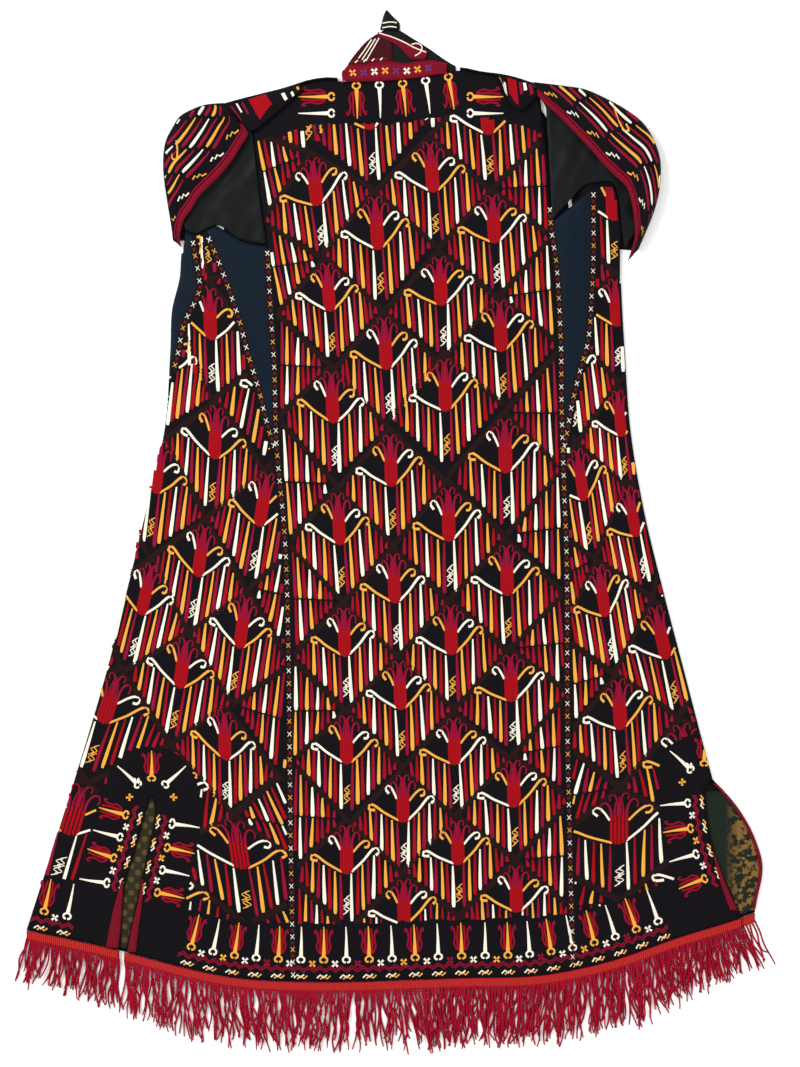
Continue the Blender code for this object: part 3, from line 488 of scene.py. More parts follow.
def face_up(mesh: bpy.types.Mesh) -> None:
    """Turn over every face that looks down."""
    shape = bmesh.new()
    shape.from_mesh(mesh)
    down = [face for face in shape.faces if face.normal.z < 0]
    bmesh.ops.reverse_faces(shape, faces=down)
    shape.to_mesh(mesh)
    shape.free()


# Motif of one lozenge in its own millimetres: 0,0 is the foot of the tulip's cup and up is towards the neck
LOZENGE_HALF = 70.6
LOZENGE_RISE = 67.0
LOW_HOOK_STEEP = [(6, 3), (20, 16), (32, 30), (37, 32), (40, 27), (36, 23)]
LOW_HOOK_FLAT = [(6, 3), (25, 14), (39, 24), (44, 23), (43, 18), (36, 17)]
HIGH_HOOK_STEEP = [(8, 30), (13, 41), (18, 47), (22, 43), (18, 37)]
HIGH_HOOK_FLAT = [(8, 27), (17, 37), (24, 41), (28, 38), (26, 33), (22, 33)]
SIDE_PETAL = [(6.5, 29), (7, 41), (10, 50), (14, 51), (16, 46), (15, 41)]
CENTRE_PETAL = [(1.2, 34), (1.4, 50), (4, 59), (8, 58), (7.5, 52)]
CUP_HEIGHT = 34
CUP_PITCH = 3.2
STRIPE_PITCH = 6.9
STRIPE_COLOURS = (
    Thread.WHITE, Thread.RED, Thread.YELLOW, Thread.CRIMSON, Thread.WHITE,
    Thread.RED, Thread.YELLOW, Thread.RED, Thread.CRIMSON,
)
STRIPE_COLOURS_FAR = (
    Thread.CRIMSON, Thread.YELLOW, Thread.RED, Thread.WHITE, Thread.CRIMSON,
    Thread.YELLOW, Thread.RED, Thread.CRIMSON, Thread.RED,
)
S_HALF = [(2.6, 13), (-1.8, 8), (2.2, 3), (-2.4, -2)]


@dataclass
class Lozenge:
    """One cell of the lattice: a tulip with hooked branches over tapered stripes.

    Args:
        work: embroidery that the cell is added to.
        base: foot of the tulip's cup, in the table's frame.
        right: step from the cup's foot to the cell's right corner.
        up: step from the cup's foot to the cell's upper corner.
        flipped: whether the colours and hooks of the two sides change places.
        whole: whether the cell has its tulip, and not only two tiers of stripes.
    """

    work: ThreadWork
    base: np.ndarray
    right: np.ndarray
    up: np.ndarray
    flipped: bool = False
    whole: bool = True

    def at(self, points: Sequence) -> np.ndarray:
        """Places of the table's frame for places of the motif."""
        spots = np.array(points, float)
        return self.base + np.outer(spots[:, 0] / LOZENGE_HALF, self.right) + np.outer(spots[:, 1] / LOZENGE_RISE, self.up)

    def stitch(self, points: Sequence, width, thread: Thread, count: int = 14, rise: float = 0.8) -> None:
        """Lay a curved thread given in the motif's own places."""
        self.work.curve(self.at(points), width, thread, count, rise)

    def side(self, points: Sequence, side: int) -> list:
        """A curve of the right side, mirrored for the left one."""
        return [(side * x, y) for x, y in points]

    def lattice(self) -> None:
        """Rows of dark chain stitch on the cell's two upper sides."""
        for corner in (-1, 1):
            for row in (-1, 0, 1):
                lift = row * 2.7
                ends = [(corner * LOZENGE_HALF, lift), (corner * LOZENGE_HALF / 2, LOZENGE_RISE / 2 + lift), (0, LOZENGE_RISE + lift)]
                self.stitch(ends, 2.6, Thread.LATTICE, 22, 0.6)

    def tulip(self) -> None:
        """Solid red cup with five looped petals."""
        for rib in (-2, -1, 0, 1, 2):
            x = rib * CUP_PITCH
            foot = (0.0, 0.9, 3.2)[abs(rib)]
            self.stitch([(x, foot), (x, CUP_HEIGHT / 2), (x, CUP_HEIGHT - abs(rib))], CUP_PITCH * 1.1, Thread.RED, 12, 0.9)
        for side in (-1, 1):
            self.stitch(self.side(SIDE_PETAL, side), (3.4, 1.7), Thread.CRIMSON, 18)
            self.stitch(self.side(CENTRE_PETAL, side), (2.6, 1.7), Thread.CRIMSON, 18)
            self.stitch([(side * 3.6, 32), (side * 3.6, 42), (side * 2.6, 51)], (2.8, 1.2), Thread.CRIMSON, 10)
        self.stitch([(0, 32), (0, 46), (0, 57)], (2.4, 1.2), Thread.CRIMSON, 10)

    def hooks(self) -> None:
        """A long and a short hooked branch on each side of the cup."""
        colours = (Thread.WHITE, Thread.YELLOW) if self.flipped else (Thread.YELLOW, Thread.WHITE)
        shapes = ((LOW_HOOK_FLAT, HIGH_HOOK_STEEP), (LOW_HOOK_STEEP, HIGH_HOOK_FLAT))
        for side, colour, other, (low, high) in zip((-1, 1), colours, colours[::-1], shapes):
            self.stitch(self.side(low, side), (2.6, 3.2), colour, 22)
            self.stitch(self.side(high, side), (2.5, 3.0), other, 18)

    def stripes(self) -> None:
        """Tapered stripes between the long hooks and the cell's lower sides."""
        rng = self.work.rng
        for number in range(-9, 10):
            x = number * STRIPE_PITCH + rng.uniform(-0.6, 0.6) - 0.4
            if number == 0 or abs(x) > LOZENGE_HALF - 6:
                continue
            near = min(abs(x), 43) * (0.55 if x < 0 else 0.8)
            edge = LOZENGE_RISE * (1 - abs(x) / LOZENGE_HALF)
            top = min(near - 4.0, edge - 4.6) if abs(x) < 44 else edge - 4.6
            bottom = -edge + 4.8 + rng.uniform(-0.7, 0.7)
            towards = (number > 0) != self.flipped
            colours = STRIPE_COLOURS if towards else STRIPE_COLOURS_FAR
            colour = colours[abs(number) - 1]
            tiers = ((top, bottom),) if self.whole else ((edge - 4.8, 1.0), (-1.0, bottom))
            for tier, (upper, lower) in enumerate(tiers):
                if upper - lower > 6:
                    self.taper(x, upper, lower, colours[(abs(number) + 2 * tier - 1) % len(colours)] if tier else colour)

    def taper(self, x: float, top: float, bottom: float, thread: Thread) -> None:
        """One stripe, narrow at its upper end and cut aslant at its lower one."""
        rng = self.work.rng
        lean = rng.uniform(-0.9, 0.9)
        swell = rng.uniform(0.92, 1.12)
        path = smooth_path([(x - lean, top), (x + rng.uniform(-0.3, 0.3), (top + bottom) / 2), (x + lean, bottom)], 12)
        widths = np.interp(np.linspace(0, 1, 12), (0, 0.3, 0.75, 0.92, 1), (1.8, 2.9, 4.1, 4.2, 3.0)) * swell
        self.work.ribbon(self.at(path), widths, thread, 0.8)

    def mark(self) -> None:
        """Small double S between the middle stripes."""
        thread = Thread.YELLOW if self.flipped else Thread.WHITE
        for shift in (0, -10):
            for beside in (-1.3, 1.3):
                spots = [(x * 1.1 + beside, y * 0.72 + shift + beside - 36) for x, y in S_HALF]
                self.stitch(spots, 1.2, thread, 10)

    def build(self) -> None:
        """Embroider the whole cell."""
        self.lattice()
        self.stripes()
        if self.whole:
            self.tulip()
            self.hooks()
            self.mark()


@dataclass
class Lattice:
    """Field of lozenges whose cups stand at the crossings of uneven rows and columns.

    Args:
        columns: for each column its first row and the places of its cups' feet, from the upper one down.
    """

    columns: dict

    def node(self, column: int, row: float) -> np.ndarray:
        """Cup's foot at a column and row, also between or beyond the given ones."""
        if column not in self.columns:
            near = min(self.columns, key=lambda known: abs(known - column))
            inner = near + (1 if near < column else -1) * -1
            return self.node(near, row) + (self.node(near, row) - self.node(inner, row)) * abs(column - near)
        first, places = self.columns[column]
        spots = np.array(places, float)
        last = len(spots) - 1
        at = row - first
        low = int(np.clip(math.floor(at), 0, last - 1))
        return spots[low] + (spots[low + 1] - spots[low]) * (at - low)

    def embroider(self, work: ThreadWork, columns: Iterable, rows: Iterable) -> None:
        """Embroider every cell that reaches into the piece; the outermost columns have stripes only."""
        for column in columns:
            for row in rows:
                at_row = row + (0.5 if column % 2 else 0.0)
                base = self.node(column, at_row)
                right = (self.node(column + 1, at_row) - self.node(column - 1, at_row)) / 2
                up = (self.node(column, at_row - 0.5) - self.node(column, at_row + 0.5)) / 2
                flipped = bool((column // 2 + row + column % 2) % 2)
                Lozenge(work, base, right, up, flipped, column in self.columns).build()


def linear(red: float, green: float, blue: float) -> tuple:
    """Scene colour of a screen colour given in parts of 255."""
    def channel(value: float) -> float:
        """One channel of the scene colour."""
        share = value / 255
        return share / 12.92 if share <= 0.04045 else ((share + 0.055) / 1.055) ** 2.4

    return (channel(red), channel(green), channel(blue), 1.0)


class Wiring:
    """Nodes and links of one node tree."""

    def __init__(self, tree: bpy.types.NodeTree) -> None:
        """Start with an existing tree."""
        self.tree = tree

    def add(self, kind: str, settings: dict = None, **inputs) -> bpy.types.Node:
        """Add a node, set its options and fill or link its inputs.

        Args:
            kind: Blender's name of the node type.
            settings: options of the node itself.
            inputs: values or output sockets by input name, with spaces written as underscores.

        Returns:
            The new node.
        """
        node = self.tree.nodes.new(kind)
        for key, value in (settings or {}).items():
            setattr(node, key, value)
        for key, value in inputs.items():
            socket = node.inputs[int(key[1:])] if key[1:].isdigit() else node.inputs[key.replace("_", " ")]
            if isinstance(value, bpy.types.NodeSocket):
                self.tree.links.new(value, socket)
            else:
                socket.default_value = value
        return node

    def sum(self, kind: str, first, second) -> bpy.types.NodeSocket:
        """Result of a two-value sum, such as ADD or MULTIPLY."""
        return self.add("ShaderNodeMath", {"operation": kind}, i0=first, i1=second).outputs[0]

    def wave(self, along: bpy.types.NodeSocket, per_metre: float) -> bpy.types.NodeSocket:
        """Sine wave from 0 to 1 with so many crests in a metre."""
        turns = self.sum("MULTIPLY", along, per_metre * 2 * math.pi)
        raised = self.add("ShaderNodeMath", {"operation": "SINE"}, i0=turns).outputs[0]
        return self.add("ShaderNodeMath", {"operation": "MULTIPLY_ADD"}, i0=raised, i1=0.5, i2=0.5).outputs[0]


def new_group(name: str, inputs: dict, outputs: Sequence[str]) -> tuple:
    """Empty node group with number inputs and outputs.

    Args:
        name: name of the group.
        inputs: input names with their usual values.
        outputs: names of the outputs.

    Returns:
        The group, its wiring, its input sockets by name and a function that links an output.
    """
    group = bpy.data.node_groups.new(name, "ShaderNodeTree")
    for label, usual in inputs.items():
        socket = group.interface.new_socket(name=label, in_out="INPUT", socket_type="NodeSocketFloat")
        socket.default_value = usual
    for label in outputs:
        group.interface.new_socket(name=label, in_out="OUTPUT", socket_type="NodeSocketFloat")
    wiring = Wiring(group)
    start = wiring.add("NodeGroupInput")
    end = wiring.add("NodeGroupOutput")
    return group, wiring, start.outputs, lambda label, value: group.links.new(value, end.inputs[label])


def weave_group() -> bpy.types.NodeTree:
    """Plain weave: crossed threads of uneven thickness."""
    group, w, given, put = new_group("Weave", {"Threads": 900.0, "Unevenness": 0.4}, ("Height", "Tint"))
    place = w.add("ShaderNodeTexCoord").outputs["Object"]
    sway = w.add("ShaderNodeTexNoise", {"noise_dimensions": "3D"}, Vector=place, Scale=60.0, Detail=3.0)
    parts = w.add("ShaderNodeSeparateXYZ", i0=place).outputs
    bent = w.sum("MULTIPLY", sway.outputs[0], w.sum("MULTIPLY", given["Unevenness"], 0.004))
    waves = []
    for axis in (0, 1):
        turns = w.sum("MULTIPLY", w.sum("ADD", parts[axis], bent), w.sum("MULTIPLY", given["Threads"], math.pi))
        waves.append(w.add("ShaderNodeMath", {"operation": "SINE"}, i0=turns).outputs[0])
    crossed = w.sum("MULTIPLY", waves[0], waves[1])
    put("Height", w.add("ShaderNodeMath", {"operation": "MULTIPLY_ADD"}, i0=crossed, i1=0.5, i2=0.5).outputs[0])
    slub = w.add("ShaderNodeTexNoise", Vector=place, Scale=240.0, Detail=4.0)
    put("Tint", slub.outputs[0])
    return group


def stitch_group() -> bpy.types.NodeTree:
    """Lacing stitch along a thread: slanting loops that lock into each other, with painted shade in bands along them.
    """
    group, w, given, put = new_group("Stitch", {"Pitch": 620.0, "Slant": 1.3}, ("Height", "Tint"))
    uv = w.add("ShaderNodeUVMap", {"uv_map": "thread"}).outputs[0]
    parts = w.add("ShaderNodeSeparateXYZ", i0=uv).outputs
    beside = w.add("ShaderNodeMath", {"operation": "ABSOLUTE"}, i0=parts[0]).outputs[0]
    slanted = w.sum("ADD", parts[1], w.sum("MULTIPLY", beside, given["Slant"]))
    turns = w.sum("MULTIPLY", slanted, w.sum("MULTIPLY", given["Pitch"], 2 * math.pi))
    loops = w.add("ShaderNodeMath", {"operation": "SINE"}, i0=turns).outputs[0]
    strands = w.add("ShaderNodeTexNoise", Vector=uv, Scale=900.0, Detail=3.0)
    put("Height", w.add("ShaderNodeMath", {"operation": "MULTIPLY_ADD"}, i0=loops, i1=0.35, i2=strands.outputs[0]).outputs[0])
    # Tint is painted shade: it darkens the thread colour in bands that repeat with the loops.
    put("Tint", w.add("ShaderNodeMath", {"operation": "MULTIPLY_ADD"}, i0=loops, i1=0.5, i2=0.5).outputs[0])
    return group


def wear_group() -> bpy.types.NodeTree:
    """Broad fading, small stains and dust of an old garment."""
    group, w, given, put = new_group("Wear", {"Scale": 9.0, "Amount": 0.2}, ("Fade", "Dust"))
    place = w.add("ShaderNodeTexCoord").outputs["Object"]
    scale = given["Scale"]
    broad = w.add("ShaderNodeTexNoise", Vector=place, Scale=scale, Detail=4.0)
    fine = w.add("ShaderNodeTexNoise", Vector=place, Scale=w.sum("MULTIPLY", scale, 14.0), Detail=5.0)
    put("Fade", w.sum("MULTIPLY", broad.outputs[0], given["Amount"]))
    specks = w.add("ShaderNodeMapRange", Value=fine.outputs[0], From_Min=0.62, From_Max=0.78).outputs[0]
    put("Dust", w.sum("MULTIPLY", specks, given["Amount"]))
    return group


def print_group() -> bpy.types.NodeTree:
    """Block print of small sprigs in rows, and one of worn blots that fades out to one side."""
    group, w, given, put = new_group("Print", {"Repeats": 62.0, "Wear": 0.35}, ("Sprig", "Dot"))
    place = w.add("ShaderNodeTexCoord").outputs["Object"]
    parts = w.add("ShaderNodeSeparateXYZ", i0=place).outputs
    turns = w.sum("MULTIPLY", given["Repeats"], 2 * math.pi)
    x = w.add("ShaderNodeMath", {"operation": "SINE"}, i0=w.sum("MULTIPLY", parts[0], turns)).outputs[0]
    y = w.add("ShaderNodeMath", {"operation": "SINE"}, i0=w.sum("MULTIPLY", parts[1], turns)).outputs[0]
    worn = w.add("ShaderNodeTexNoise", Vector=place, Scale=130.0, Detail=4.0).outputs[0]
    field_value = w.sum("ADD", w.sum("MULTIPLY", x, y), w.sum("MULTIPLY", worn, given["Wear"]))
    put("Sprig", w.add("ShaderNodeMapRange", Value=field_value, From_Min=0.35, From_Max=0.6).outputs[0])
    blots = w.add("ShaderNodeTexNoise", Vector=place, Scale=170.0, Detail=2.0).outputs[0]
    faded = w.add("ShaderNodeMapRange", Value=parts[0], From_Min=0.395, From_Max=0.412).outputs[0]
    printed = w.add("ShaderNodeMapRange", Value=blots, From_Min=0.46, From_Max=0.56).outputs[0]
    put("Dot", w.sum("MULTIPLY", faded, printed))
    return group


def twist_group() -> bpy.types.NodeTree:
    """Two plies twisted round each other along a cord or a band, with painted shade in the grooves between them."""
    group, w, given, put = new_group("Twist", {"Pitch": 260.0, "Slant": 0.9}, ("Height", "Groove"))
    uv = w.add("ShaderNodeUVMap", {"uv_map": "thread"}).outputs[0]
    parts = w.add("ShaderNodeSeparateXYZ", i0=uv).outputs
    slanted = w.sum("ADD", parts[1], w.sum("MULTIPLY", parts[0], given["Slant"]))
    turns = w.sum("MULTIPLY", slanted, w.sum("MULTIPLY", given["Pitch"], 2 * math.pi))
    plies = w.add("ShaderNodeMath", {"operation": "SINE"}, i0=turns).outputs[0]
    put("Height", plies)
    # Groove is painted shade: it darkens the thread colour in the hollows between the plies.
    put("Groove", w.add("ShaderNodeMapRange", Value=plies, From_Min=-0.2, From_Max=-0.95).outputs[0])
    return group


@dataclass(frozen=True)
class ClothFinish:
    """Woven cloth: weave, colour variation, sheen and wear.

    Args:
        name: name of the material.
        colour: screen colour in parts of 255.
        roughness: from glossy silk to matt cotton.
        sheen: strength of the soft edge light of the fibres.
        threads: threads of the weave in a metre.
        relief: depth of the weave's bump, in millimetres.
        specular: strength of the plain reflection.
        second: colour of a woven or printed pattern, if there is one.
        pattern: group that draws the pattern, with its output.
    """

    name: str
    colour: tuple
    roughness: float
    sheen: float
    threads: float
    relief: float
    specular: float = 0.35
    second: tuple = None
    pattern: tuple = None

    def build(self, groups: dict) -> bpy.types.Material:
        """Make the material from the shared groups."""
        material = bpy.data.materials.new(self.name)
        material.use_nodes = True
        w = Wiring(material.node_tree)
        shader = material.node_tree.nodes["Principled BSDF"]
        weave = w.add("ShaderNodeGroup", {"node_tree": groups["Weave"]}, Threads=self.threads)
        wear = w.add("ShaderNodeGroup", {"node_tree": groups["Wear"]}, Amount=0.35)
        dark = tuple(channel * 0.55 for channel in linear(*self.colour)[:3]) + (1.0,)
        colour = w.add("ShaderNodeMix", {"data_type": "RGBA"}, i0=weave.outputs["Tint"], i6=dark, i7=linear(*self.colour)).outputs[2]
        if self.second:
            group, output = self.pattern
            drawn = w.add("ShaderNodeGroup", {"node_tree": groups[group]}).outputs[output]
            colour = w.add("ShaderNodeMix", {"data_type": "RGBA"}, i0=drawn, i6=colour, i7=linear(*self.second)).outputs[2]
        faded = w.add("ShaderNodeMix", {"data_type": "RGBA"}, i0=wear.outputs["Dust"], i6=colour, i7=dark).outputs[2]
        bump = w.add("ShaderNodeBump", Strength=0.6, Distance=self.relief * MM, Height=weave.outputs["Height"])
        material.node_tree.links.new(faded, shader.inputs["Base Color"])
        material.node_tree.links.new(bump.outputs[0], shader.inputs["Normal"])
        rough = w.add("ShaderNodeMapRange", Value=wear.outputs["Fade"], From_Min=0.0, From_Max=0.35, To_Min=self.roughness - 0.06, To_Max=self.roughness + 0.1)
        material.node_tree.links.new(rough.outputs[0], shader.inputs["Roughness"])
        shader.inputs["Sheen Weight"].default_value = self.sheen
        shader.inputs["Sheen Roughness"].default_value = 0.45
        shader.inputs["Specular IOR Level"].default_value = self.specular
        return material


@dataclass(frozen=True)
class ThreadFinish:
    """Embroidery or fringe silk: locked loops or twisted plies, with its own sheen and painted shade in their grooves.

    Args:
        name: name of the material.
        colour: screen colour in parts of 255.
        group: shared group that gives the thread's relief.
        relief: depth of the relief, in millimetres.
        shade: share of the colour left in the grooves, as painted shade.
    """

    name: str
    colour: tuple
    group: str = "Stitch"
    relief: float = 0.28
    shade: float = 0.62

    def build(self, groups: dict) -> bpy.types.Material:
        """Make the material from the shared groups."""
        material = bpy.data.materials.new(self.name)
        material.use_nodes = True
        w = Wiring(material.node_tree)
        shader = material.node_tree.nodes["Principled BSDF"]
        thread = w.add("ShaderNodeGroup", {"node_tree": groups[self.group]})
        wear = w.add("ShaderNodeGroup", {"node_tree": groups["Wear"]}, Scale=26.0, Amount=0.8)
        full = linear(*self.colour)
        dark = tuple(channel * self.shade for channel in full[:3]) + (1.0,)
        # Painted shade: the colour drops to its shade share in the grooves, and the Fade noise of Wear sets how much of
        # it shows.
        loops = w.add("ShaderNodeMix", {"data_type": "RGBA"}, i0=thread.outputs[1], i6=full, i7=dark).outputs[2]
        varied = w.add("ShaderNodeMix", {"data_type": "RGBA"}, i0=wear.outputs["Fade"], i6=full, i7=loops).outputs[2]
        worn = w.add("ShaderNodeMix", {"data_type": "RGBA"}, i0=wear.outputs["Dust"], i6=varied, i7=dark).outputs[2]
        bump = w.add("ShaderNodeBump", Strength=0.7, Distance=self.relief * MM, Height=thread.outputs["Height"])
        material.node_tree.links.new(worn, shader.inputs["Base Color"])
        material.node_tree.links.new(bump.outputs[0], shader.inputs["Normal"])
        shader.inputs["Roughness"].default_value = 0.55
        shader.inputs["Sheen Weight"].default_value = 0.0
        shader.inputs["Sheen Roughness"].default_value = 0.5
        shader.inputs["Specular IOR Level"].default_value = 0.07
        return material


CLOTHS = (
    ClothFinish("ground_silk", (14, 11, 16), 0.62, 0.0, 900, 0.10, 0.05),
    ClothFinish("hidden_silk", (14, 12, 18), 0.62, 0.0, 900, 0.10, 0.05),
    ClothFinish("navy_silk", (6, 22, 36), 0.5, 0.0, 1100, 0.06, 0.08),
    ClothFinish("black_silk", (12, 15, 16), 0.45, 0.0, 1100, 0.05, 0.1),
    ClothFinish("red_cotton", (112, 4, 26), 0.7, 0.0, 800, 0.12, 0.1),
    ClothFinish("maroon_stripe", (62, 8, 16), 0.72, 0.0, 800, 0.12, 0.1),
    ClothFinish("olive_lining", (44, 40, 24), 0.78, 0.02, 700, 0.14, 0.1, (74, 62, 34), ("Print", "Sprig")),
    ClothFinish("printed_facing", (24, 34, 26), 0.78, 0.02, 700, 0.14, 0.1, (116, 84, 40), ("Print", "Dot")),
)
THREADS = (
    ThreadFinish(Thread.RED.value, (146, 0, 14)),
    ThreadFinish(Thread.CRIMSON.value, (136, 4, 40)),
    ThreadFinish(Thread.YELLOW.value, (224, 158, 60)),
    ThreadFinish(Thread.WHITE.value, (228, 221, 203), shade=0.75),
    ThreadFinish(Thread.LATTICE.value, (30, 11, 10)),
    ThreadFinish(Thread.PURPLE.value, (96, 50, 104)),
    ThreadFinish(Thread.BLACK.value, (15, 14, 14)),
    ThreadFinish(Thread.RIB.value, (188, 56, 40)),
    ThreadFinish("fringe_red", (150, 12, 38), "Twist", 0.5, 0.45),
    ThreadFinish("braid_red", (140, 8, 26), "Twist", 0.3, 0.6),
)


class Finishes:
    """Every material of the robe, made once."""

    def __init__(self) -> None:
        """Build the shared groups and the materials."""
        makers = (weave_group, stitch_group, wear_group, print_group, twist_group)
        self.groups = {group.name: group for group in (make() for make in makers)}
        self.materials = {finish.name: finish.build(self.groups) for finish in (*CLOTHS, *THREADS)}

    def cloth(self, name: str) -> bpy.types.Material:
        """Material of a cloth or cord."""
        return self.materials[name]

    def thread(self, thread: Thread) -> bpy.types.Material:
        """Material of an embroidery silk."""
        return self.materials[thread.value]


def cloth_piece(name: str, patches: Sequence, material: bpy.types.Material, wall: float = 1.3) -> bpy.types.Object:
    """Thin shell of cloth on one or more grids of points that share their common points.

    Args:
        name: name of the piece.
        patches: grids, each a list of rows of points.
        material: finish of the cloth.
        wall: thickness of the shell, in millimetres.

    Returns:
        The new piece.
    """
    shape = bmesh.new()
    for grid in patches:
        rows = [[shape.verts.new(place) for place in in_metres(np.array(row))] for row in grid]
        for upper_row, lower_row in zip(rows, rows[1:]):
            for column in range(len(upper_row) - 1):
                shape.faces.new((upper_row[column], lower_row[column], lower_row[column + 1], upper_row[column + 1]))
    bmesh.ops.remove_doubles(shape, verts=shape.verts, dist=0.00001)
    mesh = bpy.data.meshes.new(name)
    shape.to_mesh(mesh)
    shape.free()
    mesh.shade_smooth()
    mesh.materials.append(material)
    piece = bpy.data.objects.new(name, mesh)
    bpy.context.scene.collection.objects.link(piece)
    thicken = piece.modifiers.new("wall", "SOLIDIFY")
    thicken.thickness = wall * MM
    thicken.offset = 0.0
    return piece


def lay(piece: bpy.types.Object, nodes: Sequence[str], trims: Sequence = ()) -> None:
    """Hide the solids that a cloth piece stands for, and attach it and its trims to the root body.

    Args:
        piece: the shell of cloth.
        nodes: solids that it stands for.
        trims: separate pieces sewn on it.
    """
    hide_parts(*nodes)
    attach(piece, "root")
    for trim in trims:
        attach(trim, "root")


def levels(start: float, end: float, step: float, stops: Sequence = ()) -> list:
    """Levels from one to another, high to low, with the given stops between."""
    count = max(1, round((start - end) / step))
    regular = [mix(start, end, share / count) for share in range(count + 1)]
    between = [stop for stop in stops if end < stop < start]
    spaced = [level for level in regular if all(abs(level - stop) > step / 3 for stop in between)]
    return sorted({start, end, *spaced, *between}, reverse=True)


def sections_grid(sections: Sequence, rows: int, columns: int, height: Callable) -> list:
    """Grid over a table of sections, each a straight line from its top to its low end."""
    places = smooth_path([tuple(section) for section in sections], columns)
    grid = []
    for share in np.linspace(0, 1, rows + 1):
        x = mix(places[:, 0], places[:, 2], share)
        y = mix(places[:, 1], places[:, 3], share)
        grid.append(np.stack([x, y, height(x, y)], axis=1))
    return grid


def side_roll(fold: float, side: int, upper: np.ndarray, lower: np.ndarray) -> np.ndarray:
    """Points round a side fold between the last upper and the first lower one, both left out."""
    centre = fold - side * FOLD_REACH
    top, low = upper[2], lower[2]
    points = []
    for angle in (60, 30, 0, -30, -60):
        turn = math.radians(angle)
        points.append((
            centre + side * ROLL * math.cos(turn), mix(lower[1], upper[1], 0.5 + 0.5 * math.sin(turn)),
            (top + low) / 2 + (top - low) / 2 * math.sin(turn),
        ))
    return np.array(points)


PANEL_STEP = 6.0


class BodyPanels:
    """Back length, side gores, gussets and the hidden fronts."""

    def __init__(self, finishes: Finishes) -> None:
        """Keep the finishes for the cloth."""
        self.finishes = finishes

    def back(self) -> bpy.types.Object:
        """Centre length of the back, from the shoulders and neckline to the hem."""
        grid = [
            across(on_edge(BACK_SEAM_LEFT, level) + 0.25, on_edge(BACK_SEAM_RIGHT, level) - 0.25, level, 60)
            for level in levels(TOP_LEVEL, HEM_LEVEL, PANEL_STEP)
        ]
        return cloth_piece("back_length", [grid], self.finishes.cloth("ground_silk"))

    def front(self, name: str, side_seam: Sequence, side: int) -> bpy.types.Object:
        """One hidden front, which rolls up round the shoulder line and lies on the floor."""
        lows = levels(530, HEM_LEVEL, 40)
        grid = []
        x = np.linspace(on_edge(side_seam, TOP_LEVEL), (-75, 72)[side > 0], 11)
        for angle in (90, 60, 30, 0, -30, -60, -90):
            turn = math.radians(angle)
            y = read(SHOULDER, x) - FOLD_REACH + ROLL * math.cos(turn)
            grid.append(np.stack([x, y, np.full(11, (UPPER + LOWER) / 2 + ROLL * math.sin(turn))], axis=1))
        for level in lows:
            centre = (-75, 72)[side > 0] if level == 530 else float(read(FRONT_CENTRE, level)) + side * 2
            grid.append(across(on_edge(side_seam, level), centre, level, 10, height=flat(LOWER)))
        return cloth_piece(name, [grid], self.finishes.cloth("hidden_silk"))

    def gussets(self) -> list:
        """Plain underarm gussets, and the plain strip that turns under at the left fold."""
        material = self.finishes.cloth("navy_silk")
        left = [
            across(
                on_edge(GORE_LEFT_INNER, level, underarm_thread_y), on_edge(BACK_SEAM_LEFT, level, underarm_thread_y),
                level, 16, underarm_thread_y)
            for level in levels(UNDERARM_LEVEL, GUSSET_TIP + 3, PANEL_STEP)
        ]
        right = [
            across(
                on_edge(BACK_SEAM_RIGHT, level, right_underarm_y), on_edge(GORE_RIGHT_INNER, level, right_underarm_y),
                level, 12, right_underarm_y)
            for level in levels(RIGHT_GORE_TOP, GUSSET_TIP + 3, PANEL_STEP)
        ]
        top, wrapped = [], []
        for level in levels(UNDERARM_LEVEL, LEFT_GUSSET_END + 3, PANEL_STEP, (LEFT_WRAP_LEVEL,)):
            fold = on_edge(FOLD_LEFT, level, underarm_thread_y)
            seam = on_edge(GORE_LEFT_OUTER, level, underarm_thread_y)
            shown = across(seam, fold + FOLD_REACH, level, 4, underarm_thread_y)
            if level >= LEFT_WRAP_LEVEL:
                top.append(shown)
            if level <= LEFT_WRAP_LEVEL:
                hidden = across(fold + FOLD_REACH, on_edge(FRONT_SIDE_LEFT, level), level, 4, height=flat(LOWER))
                wrapped.append(np.concatenate([shown, side_roll(fold, -1, shown[-1], hidden[0]), hidden]))
        return [
            cloth_piece("gusset_left_shown", [left], material),
            cloth_piece("gusset_right_shown", [right], material),
            cloth_piece("gusset_side_strip", [top, wrapped], material),
        ]

    def gore_left(self) -> bpy.types.Object:
        """Left side gore, turned under at the fold and slit below the vent's top."""
        top, wrapped, inner_flap, outer_flap = [], [], [], []
        thread = underarm_thread_y
        for level in levels(UNDERARM_LEVEL, HEM_LEVEL, PANEL_STEP, (LEFT_GUSSET_END, LEFT_VENT_TOP)):
            fold = on_edge(FOLD_LEFT, level, thread)
            seam = on_edge(GORE_LEFT_INNER if level > GUSSET_TIP else BACK_SEAM_LEFT, level, thread) - 0.25
            outer = fold + FOLD_REACH if level <= LEFT_GUSSET_END else on_edge(GORE_LEFT_OUTER, level, thread)
            vent_outer = vent_inner = mix(outer, seam, LEFT_VENT_SHARE)
            if level < LEFT_VENT_TOP:
                vent_outer, vent_inner = on_edge(VENT_LEFT_OUTER, level), on_edge(VENT_LEFT_INNER, level)
            inner = across(seam, vent_inner, level, 24, thread)
            shown = across(vent_outer, outer, level, 16, thread)
            if level >= LEFT_GUSSET_END:
                top.append(np.concatenate([inner, shown[1:]]))
            if level > LEFT_GUSSET_END:
                continue
            hidden = across(outer, on_edge(FRONT_SIDE_LEFT, level), level, 6, height=flat(LOWER))
            outer_row = np.concatenate([shown, side_roll(fold, -1, shown[-1], hidden[0]), hidden])
            if level >= LEFT_VENT_TOP:
                wrapped.append(np.concatenate([inner, outer_row[1:]]))
            if level <= LEFT_VENT_TOP:
                inner_flap.append(inner)
                outer_flap.append(outer_row)
        return cloth_piece("side_gore_left", [top, wrapped, inner_flap, outer_flap], self.finishes.cloth("ground_silk"))

